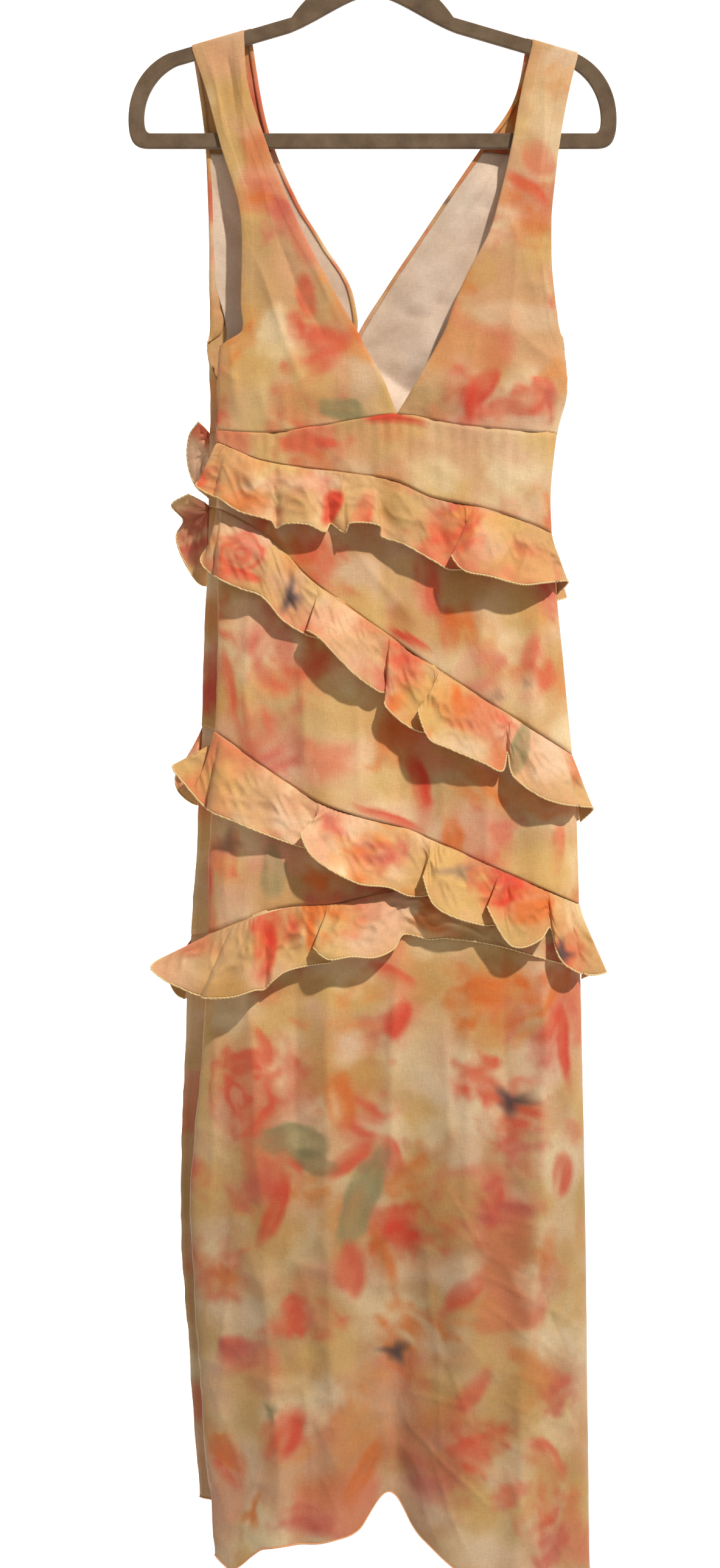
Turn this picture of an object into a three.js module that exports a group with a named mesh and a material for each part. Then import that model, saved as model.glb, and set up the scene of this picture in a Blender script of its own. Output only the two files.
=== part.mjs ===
// A sleeveless maxi dress hanging on a slim flocked hanger.
//
// The dress is a flattened tube: a V-neck bodice of two front and two back panels with wide shoulder straps,
// a body of five panels joined on slanting seams, and a flounce sewn into each of the four seams, front and back.
// Frame: millimetres, +Z up, the front faces -Y. The origin is the inside top of the hook, where it bears on a rail.
import * as THREE from "three";

// ---------- driving dimensions ----------
const CLOTH = 1.2; // wall of the outer panels
const THIN = 1.0; // wall of the flounces and of the bodice lining
const GAP = 0.3; // free space between neighbouring pieces
const HANGER_DEPTH = 5; // plate of the hanger, front to back
const SHOULDER_SLOPE = 0.293; // fall of the hanger's shoulder per millimetre outwards
const SHOULDER_PEAK = -88.7; // where the shoulder's top edge would meet the middle
const STRAP_TOP = -138; // mean height of the straps where they cross the hanger
const EMPIRE = -488; // mean height of the seam under the bust
const SKIRT_TOP = -930; // mean height of the lowest slanting seam
const HEM = -1515; // mean height of the hem
const FLOUNCE = 62; // depth of a flounce's cloth
const FLARE = 12; // how far a flounce stands off at its edge
const TUCK = 10; // how far the left side seam is drawn in behind the front's edge
const LAYER = 1.9; // step from a bodice panel in to its lining
const COLUMNS = { front: 26, back: 18 }; // facets across a body panel
const ROUNDING = 0.45; // power of the section's side rounding: smaller is flatter

// The garment's outline at each height. left and right are the front's edges, backLeft the back's left edge,
// front and back are how far the cloth stands from the hanger's plane.
const BODY = [
  { z: -115, left: -220, right: 220, backLeft: -222, front: 4.8, back: 4.8 },
  { z: -230, left: -172, right: 190, backLeft: -178, front: 9, back: 9 },
  { z: -311, left: -150, right: 176, backLeft: -160, front: 15, back: 13 },
  { z: -402, left: -139, right: 174, backLeft: -151, front: 20, back: 17 },
  { z: -450, left: -143, right: 177, backLeft: -151, front: 23, back: 18 },
  { z: -488, left: -144, right: 168, backLeft: -152, front: 18, back: 18 },
  { z: -561, left: -143, right: 162, backLeft: -152, front: 19, back: 20 },
  { z: -716, left: -144, right: 175, backLeft: -158, front: 25, back: 26 },
  { z: -833, left: -149, right: 185, backLeft: -162, front: 29, back: 30 },
  { z: -1000, left: -154, right: 189, backLeft: -173, front: 33, back: 35 },
  { z: -1199, left: -166, right: 193, backLeft: -179, front: 38, back: 40 },
  { z: -1378, left: -156, right: 195, backLeft: -167, front: 42, back: 44 },
  { z: -1535, left: -143, right: 197, backLeft: -160, front: 45, back: 46 },
];

// Hanging folds: their place and how far they stand out, at the skirt's top and at its hem. Troughs are negative.
const FOLDS = {
  front: [
    { xTop: -105, xHem: -88, topHeight: 5, hemHeight: 9, width: 22 },
    { xTop: -39, xHem: -32, topHeight: 4, hemHeight: 6, width: 18 },
    { xTop: 38, xHem: 16, topHeight: -4, hemHeight: -38, width: 28 },
    { xTop: 98, xHem: 84, topHeight: 4, hemHeight: 10, width: 30 },
    { xTop: 153, xHem: 128, topHeight: 5, hemHeight: 9, width: 18 },
  ],
  back: [
    { xTop: -110, xHem: -120, topHeight: 5, hemHeight: 10, width: 26 },
    { xTop: -50, xHem: -62, topHeight: -4, hemHeight: -14, width: 24 },
    { xTop: 12, xHem: 8, topHeight: 5, hemHeight: 12, width: 28 },
    { xTop: 80, xHem: 88, topHeight: -4, hemHeight: -16, width: 24 },
    { xTop: 140, xHem: 142, topHeight: 4, hemHeight: 9, width: 22 },
  ],
};

const BODICE_COLUMNS = 7;
const BODICE_ROWS = [-152, -185, -230, -272, -311, -350, -380, -398, -414, -438, -462, EMPIRE];

// Height of each cross seam along the front: the empire seam, then the four slanting ones.
const SEAMS = [
  [
    { x: -144, z: -488 },
    { x: -95, z: -491 },
    { x: -42, z: -484 },
    { x: 22, z: -475 },
    { x: 78, z: -484 },
    { x: 131, z: -489 },
    { x: 168, z: -491 },
  ],
  [
    { x: -144, z: -497 },
    { x: -99, z: -516 },
    { x: -15, z: -529 },
    { x: 20, z: -535 },
    { x: 54, z: -550 },
    { x: 97, z: -559 },
    { x: 131, z: -569 },
    { x: 162, z: -581 },
  ],
  [
    { x: -144, z: -556 },
    { x: -95, z: -585 },
    { x: -57, z: -623 },
    { x: -15, z: -654 },
    { x: 51, z: -701 },
    { x: 104, z: -735 },
    { x: 180, z: -782 },
  ],
  [
    { x: -149, z: -757 },
    { x: -96, z: -795 },
    { x: -51, z: -824 },
    { x: -14, z: -838 },
    { x: 31, z: -850 },
    { x: 105, z: -882 },
    { x: 185, z: -917 },
  ],
  [
    { x: -154, z: -947 },
    { x: -83, z: -921 },
    { x: -34, z: -916 },
    { x: 17, z: -905 },
    { x: 60, z: -905 },
    { x: 105, z: -910 },
    { x: 185, z: -926 },
  ],
];
const BACK_EMPIRE_RISE = 3; // the back's empire seam lies this much above a straight line between its ends
const HEMS = {
  front: [
    { x: -160, z: -1490 },
    { x: -128, z: -1516 },
    { x: -97, z: -1492 },
    { x: -50, z: -1488 },
    { x: -12, z: -1480 },
    { x: 14, z: -1450 },
    { x: 44, z: -1486 },
    { x: 88, z: -1517 },
    { x: 150, z: -1531 },
    { x: 200, z: -1520 },
  ],
  back: [
    { x: -180, z: -1462 },
    { x: -120, z: -1468 },
    { x: -60, z: -1464 },
    { x: 10, z: -1470 },
    { x: 90, z: -1464 },
    { x: 200, z: -1472 },
  ],
};

// Flutes of the front flounces: where each crest lies, how far it stands out, how wide it is and how far it leans.
const FLUTES = [
  [
    { x: -150, out: 8, width: 26, lean: 0 },
    { x: -87, out: 8, width: 22, lean: 0 },
    { x: -50, out: 13, width: 18, lean: 9 },
    { x: -22, out: 14, width: 16, lean: -9 },
    { x: 14, out: 8, width: 18, lean: -5 },
    { x: 56, out: 8, width: 14, lean: 4 },
    { x: 98, out: 20, width: 26, lean: -24 },
    { x: 158, out: 8, width: 20, lean: 0 },
  ],
  [
    { x: -150, out: 8, width: 28, lean: 0 },
    { x: -95, out: 6, width: 20, lean: 0 },
    { x: -28, out: 20, width: 24, lean: -24 },
    { x: 24, out: 13, width: 18, lean: -14 },
    { x: 68, out: 20, width: 24, lean: -22 },
    { x: 132, out: 16, width: 15, lean: -12 },
    { x: 176, out: 12, width: 20, lean: 0 },
  ],
  [
    { x: -150, out: 22, width: 26, lean: 0 },
    { x: -112, out: 5, width: 22, lean: 0 },
    { x: -44, out: 18, width: 22, lean: -20 },
    { x: 0, out: 6, width: 20, lean: 0 },
    { x: 62, out: 18, width: 18, lean: -18 },
    { x: 118, out: 18, width: 22, lean: -22 },
    { x: 186, out: 16, width: 22, lean: 0 },
  ],
  [
    { x: -158, out: 34, width: 26, lean: 0 },
    { x: -106, out: 14, width: 16, lean: 9 },
    { x: -24, out: 18, width: 24, lean: -22 },
    { x: 20, out: 4, width: 14, lean: 0 },
    { x: 54, out: 3, width: 14, lean: 0 },
  ],
];
// The lowest flounce lies under the one above it at its right end, so it stands off less there.
const UNDER = { from: -10, to: 40, flare: 3.5 };

// Edges of the bodice panels, from the strap's top to the empire seam. outer is the armhole side, inner the neckline.
const FRONT_RIGHT = [
  { z: -138, outer: 187, inner: 147 },
  { z: -185, outer: 176.5, inner: 135.5 },
  { z: -230, outer: 169, inner: 127 },
  { z: -284, outer: 163, inner: 114 },
  { z: -311, outer: 162, inner: 105.5 },
  { z: -344, outer: 163, inner: 88 },
  { z: -376, outer: 167, inner: 74 },
  { z: -398, outer: 171, inner: 66.5 },
  { z: -414, outer: 179, inner: 59 },
  { z: -450, outer: 179, inner: 41 },
  { z: -488, outer: 170, inner: 22.4 },
];
const FRONT_LEFT = [
  { z: -138, outer: -165, inner: -118 },
  { z: -180, outer: -151, inner: -114 },
  { z: -230, outer: -137.5, inner: -97 },
  { z: -279, outer: -122, inner: -78 },
  { z: -311, outer: -118, inner: -63 },
  { z: -375, outer: -119, inner: -29 },
  { z: -398, outer: -118, inner: -16 },
  { z: -406, outer: -129, inner: -12 },
  { z: -414, outer: -142, inner: -8.5 },
  { z: -450, outer: -145, inner: 9 },
  { z: -488, outer: -146, inner: 21.6 },
];
const BACK_LEFT = [
  { z: -138, outer: -164, inner: -112 },
  { z: -215, outer: -153, inner: -96 },
  { z: -275, outer: -150, inner: -70 },
  { z: -318, outer: -149, inner: -43 },
  { z: -350, outer: -149, inner: -22 },
  { z: -380, outer: -148, inner: -14.4 },
  { z: -398, outer: -148.5, inner: -14.4 },
  { z: -414, outer: -153, inner: -14.4 },
  { z: -488, outer: -154, inner: -14.4 },
];
const BACK_RIGHT = [
  { z: -138, outer: 182, inner: 142 },
  { z: -190, outer: 174, inner: 129 },
  { z: -236, outer: 168, inner: 96 },
  { z: -279, outer: 163, inner: 65 },
  { z: -353, outer: 161, inner: 14 },
  { z: -398, outer: 168, inner: -13.6 },
  { z: -414, outer: 179, inner: -13.6 },
  { z: -488, outer: 170, inner: -13.6 },
];

// ---------- colours ----------
const PRINT = new THREE.MeshStandardMaterial({ color: "#d9a97c", roughness: 0.8, side: THREE.DoubleSide });
const LINING = new THREE.MeshStandardMaterial({ color: "#dcc3b2", roughness: 0.7, side: THREE.DoubleSide });
const FLOCK = new THREE.MeshStandardMaterial({ color: "#77685a", roughness: 0.95 });
const STEEL = new THREE.MeshStandardMaterial({ color: "#c4c2be", roughness: 0.25, metalness: 1 });

// ---------- small helpers ----------
const lerp = (a, b, t) => a + (b - a) * t;
const ease = (from, to, value) => {
  const t = Math.min(1, Math.max(0, (value - from) / (to - from)));
  return t * t * (3 - 2 * t);
};

// A column of a table at a place between its rows, on a smooth curve through them.
function along(rows, key, column, at) {
  const sign = Math.sign(rows[rows.length - 1][key] - rows[0][key]);
  const last = rows.length - 1;
  let i = 0;
  while (i < last - 1 && sign * (at - rows[i + 1][key]) > 0) i += 1;
  const slope = (j) => {
    const a = rows[Math.max(0, j - 1)];
    const b = rows[Math.min(last, j + 1)];
    return (b[column] - a[column]) / (b[key] - a[key]);
  };
  const step = rows[i + 1][key] - rows[i][key];
  const t = Math.min(1, Math.max(0, (at - rows[i][key]) / step));
  const t2 = t * t;
  const t3 = t2 * t;
  return (
    (2 * t3 - 3 * t2 + 1) * rows[i][column] +
    (t3 - 2 * t2 + t) * step * slope(i) +
    (3 * t2 - 2 * t3) * rows[i + 1][column] +
    (t3 - t2) * step * slope(i + 1)
  );
}

// ---------- the garment's form ----------
// Standing folds at x and z: how far the cloth moves outwards.
function foldHeight(side, x, z) {
  const down = (z - SKIRT_TOP) / (HEM - SKIRT_TOP);
  const upper = ease(-560, SKIRT_TOP, z);
  return FOLDS[side].reduce((sum, fold) => {
    const k = Math.max(0, down);
    const centre = lerp(fold.xTop, fold.xHem, k);
    const height = lerp(fold.topHeight, fold.hemHeight, k * k) * upper;
    return sum + height * Math.exp(-(((x - centre) / fold.width) ** 2));
  }, 0);
}

// A point of the tube: across runs from -1, the left side seam, to 1, the right one.
function sectionPoint(side, across, z, tucked = true) {
  const front = side === "front";
  const left = along(BODY, "z", front ? "left" : "backLeft", z);
  const right = along(BODY, "z", "right", z);
  const seam = along(BODY, "z", "left", z) + TUCK;
  const angle = Math.asin(Math.min(1, Math.max(-1, across)));
  const middle = (left + right) / 2;
  const half = (right - left) / 2;
  const drawnIn = (tucked ? seam - left : 0) * Math.exp(-(((angle + Math.PI / 2) / 0.09) ** 2));
  const x = middle + half * Math.sin(angle) + drawnIn * ease(-412, -470, z);
  const round = Math.cos(angle) ** ROUNDING;
  const depth = along(BODY, "z", side, z) * round + foldHeight(side, x, z) * Math.min(1, 1.6 * Math.cos(angle));
  return new THREE.Vector2(x, (front ? -1 : 1) * (GAP / 2 + depth));
}

// The horizontal direction that faces away from the inside of the tube.
function outward(side, across, z, tucked = true) {
  const step = 0.004;
  const angle = Math.asin(Math.min(1, Math.max(-1, across)));
  const clampAngle = (value) => Math.min(Math.PI / 2, Math.max(-Math.PI / 2, value));
  const a = sectionPoint(side, Math.sin(clampAngle(angle - step)), z, tucked);
  const b = sectionPoint(side, Math.sin(clampAngle(angle + step)), z, tucked);
  const tangent = b.sub(a).normalize();
  return side === "front"
    ? new THREE.Vector3(tangent.y, -tangent.x, 0)
    : new THREE.Vector3(-tangent.y, tangent.x, 0);
}

// A column's place across the tube: the first and last two lie close together round the side seams.
function acrossAt(column, columns) {
  const edges = [0, 0.13, 0.28];
  const fromRight = columns - column;
  if (column < 2) return -Math.cos(edges[column]);
  if (fromRight < 2) return Math.cos(edges[fromRight]);
  const share = (column - 2) / (columns - 4);
  const limit = Math.PI / 2 - edges[2];
  const turning = lerp(-limit, limit, share);
  const even = Math.asin(lerp(-Math.sin(limit), Math.sin(limit), share));
  return Math.sin(lerp(turning, even, 0.6));
}

function seamHeight(index, side, x) {
  const rows = SEAMS[index];
  if (index > 0 || side === "front") return along(rows, "x", "z", x);
  const first = rows[0];
  const last = rows[rows.length - 1];
  const share = Math.min(1, Math.max(0, (x - first.x) / (last.x - first.x)));
  return lerp(first.z, last.z, share) + BACK_EMPIRE_RISE * Math.sin(Math.PI * share);
}

const edgeHeight = (index, side, x) =>
  index < SEAMS.length ? seamHeight(index, side, x) : along(HEMS[side], "x", "z", x);

// The height of a seam at a column, whose x itself changes a little with the height.
function heightAt(index, side, across) {
  let z = index < SEAMS.length ? SEAMS[index][3].z : HEM;
  for (let i = 0; i < 4; i += 1) z = edgeHeight(index, side, sectionPoint(side, across, z).x);
  return z;
}

// ---------- solids ----------
// A closed wall round a grid of middle points, thick along each point's normal.
function wall(name, grid, thickness, material) {
  const rows = grid.length;
  const columns = grid[0].length;
  const positions = [];
  for (const sign of [1, -1])
    for (const row of grid)
      for (const { point, normal } of row) {
        const p = point.clone().addScaledVector(normal, (sign * thickness) / 2);
        positions.push(p.x, p.y, p.z);
      }
  const index = [];
  const quad = (a, b, c, d) => index.push(a, b, c, a, c, d);
  const outer = (r, c) => r * columns + c;
  const inner = (r, c) => rows * columns + r * columns + c;
  for (let r = 0; r < rows - 1; r += 1)
    for (let c = 0; c < columns - 1; c += 1) {
      quad(outer(r, c), outer(r + 1, c), outer(r + 1, c + 1), outer(r, c + 1));
      quad(inner(r, c), inner(r, c + 1), inner(r + 1, c + 1), inner(r + 1, c));
    }
  for (let c = 0; c < columns - 1; c += 1) {
    quad(outer(0, c), outer(0, c + 1), inner(0, c + 1), inner(0, c));
    quad(outer(rows - 1, c), inner(rows - 1, c), inner(rows - 1, c + 1), outer(rows - 1, c + 1));
  }
  for (let r = 0; r < rows - 1; r += 1) {
    quad(outer(r + 1, 0), outer(r, 0), inner(r, 0), inner(r + 1, 0));
    quad(outer(r, columns - 1), outer(r + 1, columns - 1), inner(r + 1, columns - 1), inner(r, columns - 1));
  }
  const geometry = new THREE.BufferGeometry();
  geometry.setAttribute("position", new THREE.Float32BufferAttribute(positions, 3));
  geometry.setIndex(index);
  geometry.computeVertexNormals();
  const mesh = new THREE.Mesh(geometry, material);
  mesh.name = name;
  return mesh;
}

// A back piece is drawn left to right too, so its grid is reversed to keep its faces pointing out.
const facing = (side, grid) => (side === "front" ? grid : grid.map((row) => [...row].reverse()));

// A body panel between two cross seams.
function bodyPanel(name, side, index, rows) {
  const columns = COLUMNS[side];
  const grid = Array.from({ length: rows + 1 }, (_, r) =>
    Array.from({ length: columns + 1 }, (_, c) => {
      const across = acrossAt(c, columns);
      const top = heightAt(index, side, across) - GAP;
      const bottom = heightAt(index + 1, side, across) + (index < SEAMS.length - 1 ? GAP / 2 : 0);
      const z = lerp(top, bottom, r / rows);
      const p = sectionPoint(side, across, z);
      return { point: new THREE.Vector3(p.x, p.y, z), normal: outward(side, across, z) };
    }),
  );
  return wall(name, facing(side, grid), CLOTH, PRINT);
}

// How a flounce stands off at x and at a share of its depth: outwards, and sideways.
function fluteAt(index, side, x, down) {
  const mirror = side === "back";
  const where = mirror ? BODY[7].left + BODY[7].right - x : x;
  const under = index === SEAMS.length - 1 ? ease(UNDER.from, UNDER.to, x) : 0;
  const flare = lerp(FLARE, UNDER.flare, under);
  const flutes = FLUTES[index - 1].reduce(
    (sum, flute) => {
      const bump = Math.exp(-(((where - flute.x) / flute.width) ** 2));
      return { out: sum.out + flute.out * bump, lean: sum.lean + flute.lean * bump };
    },
    { out: 0, lean: 0 },
  );
  const quiet = 1 - 0.8 * under;
  return {
    out: flare * down ** 0.8 + flutes.out * quiet * down ** 1.3,
    lean: (mirror ? -1 : 1) * flutes.lean * quiet * down ** 1.5,
  };
}

// A flounce hanging from a slanting seam, sewn on just clear of the panel below it, with that panel's columns.
function flounce(name, side, index, rows) {
  const columns = COLUMNS[side];
  const grid = Array.from({ length: rows + 1 }, (_, r) =>
    Array.from({ length: columns + 1 }, (_, c) => {
      const across = acrossAt(c, columns);
      const z = heightAt(index, side, across) - 2 * GAP;
      const top = sectionPoint(side, across, z);
      const normal = outward(side, across, z);
      const away = outward(side, across, z, false);
      const turning = 1 + 1.3 * Math.abs(across) ** 40; // the section turns sharply at the side seams
      const down = r / rows;
      const { out, lean } = fluteAt(index, side, top.x, down);
      const calm = ease(-1, -0.8, across) * ease(1, 0.8, across);
      const fall = Math.sqrt((FLOUNCE * down) ** 2 - out ** 2);
      const point = new THREE.Vector3(top.x, top.y, z - fall)
        .addScaledVector(normal, (CLOTH / 2 + GAP + THIN / 2 + 0.1) * turning)
        .addScaledVector(away, out);
      point.x += lean * calm * Math.abs(away.y);
      return { point, normal: normal.lerp(away, Math.min(1, 2 * down)).normalize() };
    }),
  );
  return wall(name, facing(side, grid), THIN, PRINT);
}

// Height of the hanger's shoulder at x.
const shoulderTop = (x) => SHOULDER_PEAK - SHOULDER_SLOPE * Math.abs(x);

// The middle points of a bodice panel at its rows' mean heights, each with its normal.
function bodiceGrid(edges, side, heights) {
  const points = heights.map((z) => {
    const share = (z - STRAP_TOP) / (EMPIRE - STRAP_TOP);
    const outer = along(edges, "z", "outer", z);
    const inner = along(edges, "z", "inner", z);
    const left = along(BODY, "z", side === "front" ? "left" : "backLeft", z);
    const right = along(BODY, "z", "right", z);
    return Array.from({ length: BODICE_COLUMNS + 1 }, (_, c) => {
      const x = lerp(outer, inner, (c / BODICE_COLUMNS) ** 1.5);
      const strapLine = (shoulderTop(x) - STRAP_TOP) * (1 - share) ** 6;
      const seamLine = (seamHeight(0, side, x) + 3 * GAP - EMPIRE) * Math.max(0, share) ** 6;
      const across = Math.min(1, Math.max(-1, (2 * x - left - right) / (right - left)));
      const p = sectionPoint(side, across, z);
      return { at: new THREE.Vector3(p.x, p.y, z + strapLine + seamLine), flat: outward(side, across, z), across, x };
    });
  });
  const last = heights.length - 1;
  return points.map((row, r) =>
    row.map(({ at, flat, across, x }, c) => {
      const down = points[Math.min(last, r + 1)][c].at.clone().sub(points[Math.max(0, r - 1)][c].at);
      const over = row[Math.min(BODICE_COLUMNS, c + 1)].at.clone().sub(row[Math.max(0, c - 1)].at);
      const normal = down.cross(over).normalize();
      if (normal.dot(flat) < 0) normal.negate();
      if (Math.abs(across) > 0.999) normal.y = 0;
      if (r === 0 || r === last) normal.z = 0;
      return { point: at, normal: normal.normalize(), x };
    }),
  );
}

// A bodice panel with its strap: the first rows bend over the hanger's top edge.
function bodicePanel(name, side, edges) {
  const sign = side === "front" ? -1 : 1;
  const clear = HANGER_DEPTH / 2 + GAP + CLOTH / 2;
  const over = GAP + CLOTH / 2;
  const bend = [
    { y: GAP / 2, z: over, ny: 0, nz: 1 },
    { y: clear - 1, z: over, ny: 0.2, nz: 1 },
    { y: clear - 0.2, z: over - 0.35, ny: 0.8, nz: 0.6 },
    { y: clear, z: -1, ny: 1, nz: 0 },
  ];
  const [top, ...hanging] = bodiceGrid(edges, side, [STRAP_TOP, ...BODICE_ROWS]);
  const bent = bend.map((row) =>
    top.map(({ x }) => ({
      point: new THREE.Vector3(x, sign * row.y, shoulderTop(x) + row.z),
      normal: new THREE.Vector3(0, sign * row.ny, row.nz).normalize(),
    })),
  );
  return wall(name, orient(side, edges, [...bent, ...hanging]), CLOTH, PRINT);
}

// A panel's columns run from the armhole to the neckline, which is leftwards on the right panels.
const orient = (side, edges, grid) => {
  const leftToRight = edges[0].outer < edges[0].inner;
  return leftToRight === (side === "front") ? grid : grid.map((row) => [...row].reverse());
};

// A lining inside a bodice panel, from below the hanger's bar down to the empire seam.
function liningPanel(name, side, edges, from) {
  const rows = BODICE_ROWS.filter((z) => z <= from);
  const grid = bodiceGrid(edges, side, [STRAP_TOP, ...BODICE_ROWS]).slice(-rows.length);
  for (const { point, normal } of grid.flat()) point.addScaledVector(normal, -LAYER);
  return wall(name, orient(side, edges, grid), THIN, LINING);
}

// ---------- the hanger ----------
const BAR = { top: -216, bottom: -230 };
const REACH = { outer: 222.5, inner: 208 };
const BAND = 13.6; // height of the shoulder band
const NECK = { top: -74, under: -90.7 };

// Half of the frame's outer or inner outline, from the middle of the neck out to the bar, and its mirror image.
function frameOutline(inside) {
  const drop = inside ? BAND : 0;
  const neck = inside ? NECK.under : NECK.top;
  const reach = inside ? REACH.inner : REACH.outer;
  const floor = inside ? BAR.top : BAR.bottom;
  const start = { x: inside ? 76 : 74, z: shoulderTop(inside ? 76 : 74) - drop };
  const end = { x: inside ? 178 : 186, z: shoulderTop(inside ? 178 : 186) - drop };
  const half = new THREE.Shape();
  half.moveTo(0, neck);
  if (inside) half.bezierCurveTo(20, neck, 48, start.z + 10.6, start.x, start.z);
  else half.bezierCurveTo(38, neck, 56, start.z + 26.4, start.x, start.z);
  half.lineTo(end.x, end.z);
  half.bezierCurveTo(end.x + 20, end.z - 9, reach, end.z - 30, reach, -203);
  half.quadraticCurveTo(reach, floor, reach - (inside ? 6 : 20), floor);
  const points = half.getPoints(9);
  const mirrored = points.slice(1).map((p) => new THREE.Vector2(-p.x, p.y));
  return [...points, ...mirrored.reverse()];
}

function hangerFrame() {
  const shape = new THREE.Shape(frameOutline(false));
  shape.holes.push(new THREE.Path(frameOutline(true).reverse()));
  const geometry = new THREE.ExtrudeGeometry(shape, { depth: HANGER_DEPTH, bevelEnabled: false });
  geometry.rotateX(Math.PI / 2).translate(0, HANGER_DEPTH / 2, 0);
  const mesh = new THREE.Mesh(geometry, FLOCK);
  mesh.name = "hanger_frame";
  return mesh;
}

const WIRE = 1.8; // radius of the hook's wire
const HOOK = 17; // inside radius of the hook
const FERRULE = { radius: 4.5, height: 6 };

function hangerHook() {
  const ring = HOOK + WIRE;
  const points = [
    new THREE.Vector3(0, 0, NECK.top + GAP),
    new THREE.Vector3(0, 0, NECK.top + 12),
    new THREE.Vector3(2, 0, -HOOK - ring - 4.5),
  ];
  for (let degrees = -55; degrees <= 205; degrees += 20) {
    const a = THREE.MathUtils.degToRad(degrees);
    points.push(new THREE.Vector3(ring * Math.cos(a), 0, -HOOK + ring * Math.sin(a)));
  }
  const section = new THREE.Shape().absarc(0, 0, WIRE, 0, 2 * Math.PI);
  const geometry = new THREE.ExtrudeGeometry(section, {
    steps: 44,
    curveSegments: 10,
    extrudePath: new THREE.CatmullRomCurve3(points),
  });
  const mesh = new THREE.Mesh(geometry, STEEL);
  mesh.name = "hanger_hook";
  return mesh;
}

function hangerFerrule() {
  const profile = [
    [WIRE + GAP, 0],
    [FERRULE.radius, 0],
    [FERRULE.radius, FERRULE.height - 1.5],
    [FERRULE.radius - 1.5, FERRULE.height],
    [WIRE + GAP, FERRULE.height],
    [WIRE + GAP, 0],
  ].map(([r, z]) => new THREE.Vector2(r, z));
  const mesh = new THREE.Mesh(new THREE.LatheGeometry(profile, 20), STEEL);
  mesh.name = "hanger_ferrule";
  mesh.rotation.x = Math.PI / 2;
  mesh.position.z = NECK.top + GAP;
  return mesh;
}

// ---------- the whole object ----------
const hanger = new THREE.Group();
hanger.add(hangerFrame(), hangerHook(), hangerFerrule());

const bodice = new THREE.Group();
bodice.add(
  bodicePanel("bodice_front_left", "front", FRONT_LEFT),
  bodicePanel("bodice_front_right", "front", FRONT_RIGHT),
  bodicePanel("bodice_back_left", "back", BACK_LEFT),
  bodicePanel("bodice_back_right", "back", BACK_RIGHT),
  liningPanel("lining_front_left", "front", FRONT_LEFT, -311),
  liningPanel("lining_front_right", "front", FRONT_RIGHT, -311),
  liningPanel("lining_back_left", "back", BACK_LEFT, -230),
  liningPanel("lining_back_right", "back", BACK_RIGHT, -230),
);

const body = new THREE.Group();
const PANELS = [
  { name: "waist_panel", rows: 2 },
  { name: "hip_panel", rows: 3 },
  { name: "thigh_panel", rows: 3 },
  { name: "wedge_panel", rows: 2 },
  { name: "skirt_panel", rows: 7 },
];
for (const side of ["front", "back"])
  PANELS.forEach(({ name, rows }, index) => body.add(bodyPanel(`${name}_${side}`, side, index, rows)));

const flounces = new THREE.Group();
for (const side of ["front", "back"])
  for (const index of [1, 2, 3, 4])
    flounces.add(flounce(`flounce_${index}_${side}`, side, index, side === "front" ? 3 : 2));

const dress = new THREE.Group();
dress.add(hanger, bodice, body, flounces);

export default dress;
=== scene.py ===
import math

import bpy
import numpy as np
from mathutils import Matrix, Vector


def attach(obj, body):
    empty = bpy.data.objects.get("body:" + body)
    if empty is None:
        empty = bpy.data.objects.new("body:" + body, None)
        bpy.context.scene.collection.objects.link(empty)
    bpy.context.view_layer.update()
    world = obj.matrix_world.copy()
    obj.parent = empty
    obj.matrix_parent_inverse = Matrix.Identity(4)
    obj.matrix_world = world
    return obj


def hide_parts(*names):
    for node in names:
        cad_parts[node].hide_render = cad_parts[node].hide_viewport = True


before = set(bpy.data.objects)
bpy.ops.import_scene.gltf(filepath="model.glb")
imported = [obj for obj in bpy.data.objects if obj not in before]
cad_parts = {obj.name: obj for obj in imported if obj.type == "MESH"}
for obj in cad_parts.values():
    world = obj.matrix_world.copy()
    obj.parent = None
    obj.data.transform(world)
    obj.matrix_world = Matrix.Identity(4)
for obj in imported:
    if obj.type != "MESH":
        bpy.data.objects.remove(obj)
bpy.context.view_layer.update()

# A printed georgette maxi dress on a slim flocked hanger. Lengths are in millimetres until a mesh is made.
# The cloth follows the same form as its solids: a flattened tube whose outline, seams and folds are the tables below.
MM = 0.001
STEP = 2.5  # spacing of the cloth's mesh
CLOTH = 0.7  # thickness of the outer cloth as it shows
FLOUNCE_CLOTH = 0.5
LINING_CLOTH = 0.3
GAP = 0.3
TUCK = 10  # the left side seam lies this far in behind the front's edge
HANGER_DEPTH = 5
SHOULDER_SLOPE = 0.293
SHOULDER_PEAK = -88.7
STRAP_TOP = -138
EMPIRE = -488
SKIRT_TOP = -930
HEM = -1515
MIDDLE = 15  # the middle of the body, across
BODY_WIDTH = 340
BODICE_WIDTH = 150
BODICE_HEIGHT = 350
FLOUNCE_DEPTH = 62
LINING_INSET = 1.75
LONG_FOLD = 7  # a crease wider than this is a long fold
BEND = -142  # where a strap begins to bend over the hanger


# ---------- tables of the garment's form ----------
def text_rows(text):
    """The rows of a short table, on lines of their own or after a semicolon."""
    return [row.split() for row in text.replace(";", "\n").splitlines() if row.strip()]


def columns(names, rows):
    return dict(zip(names.split(), np.array(rows, float).T))


def table(names, text):
    return columns(names, text_rows(text))


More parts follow.
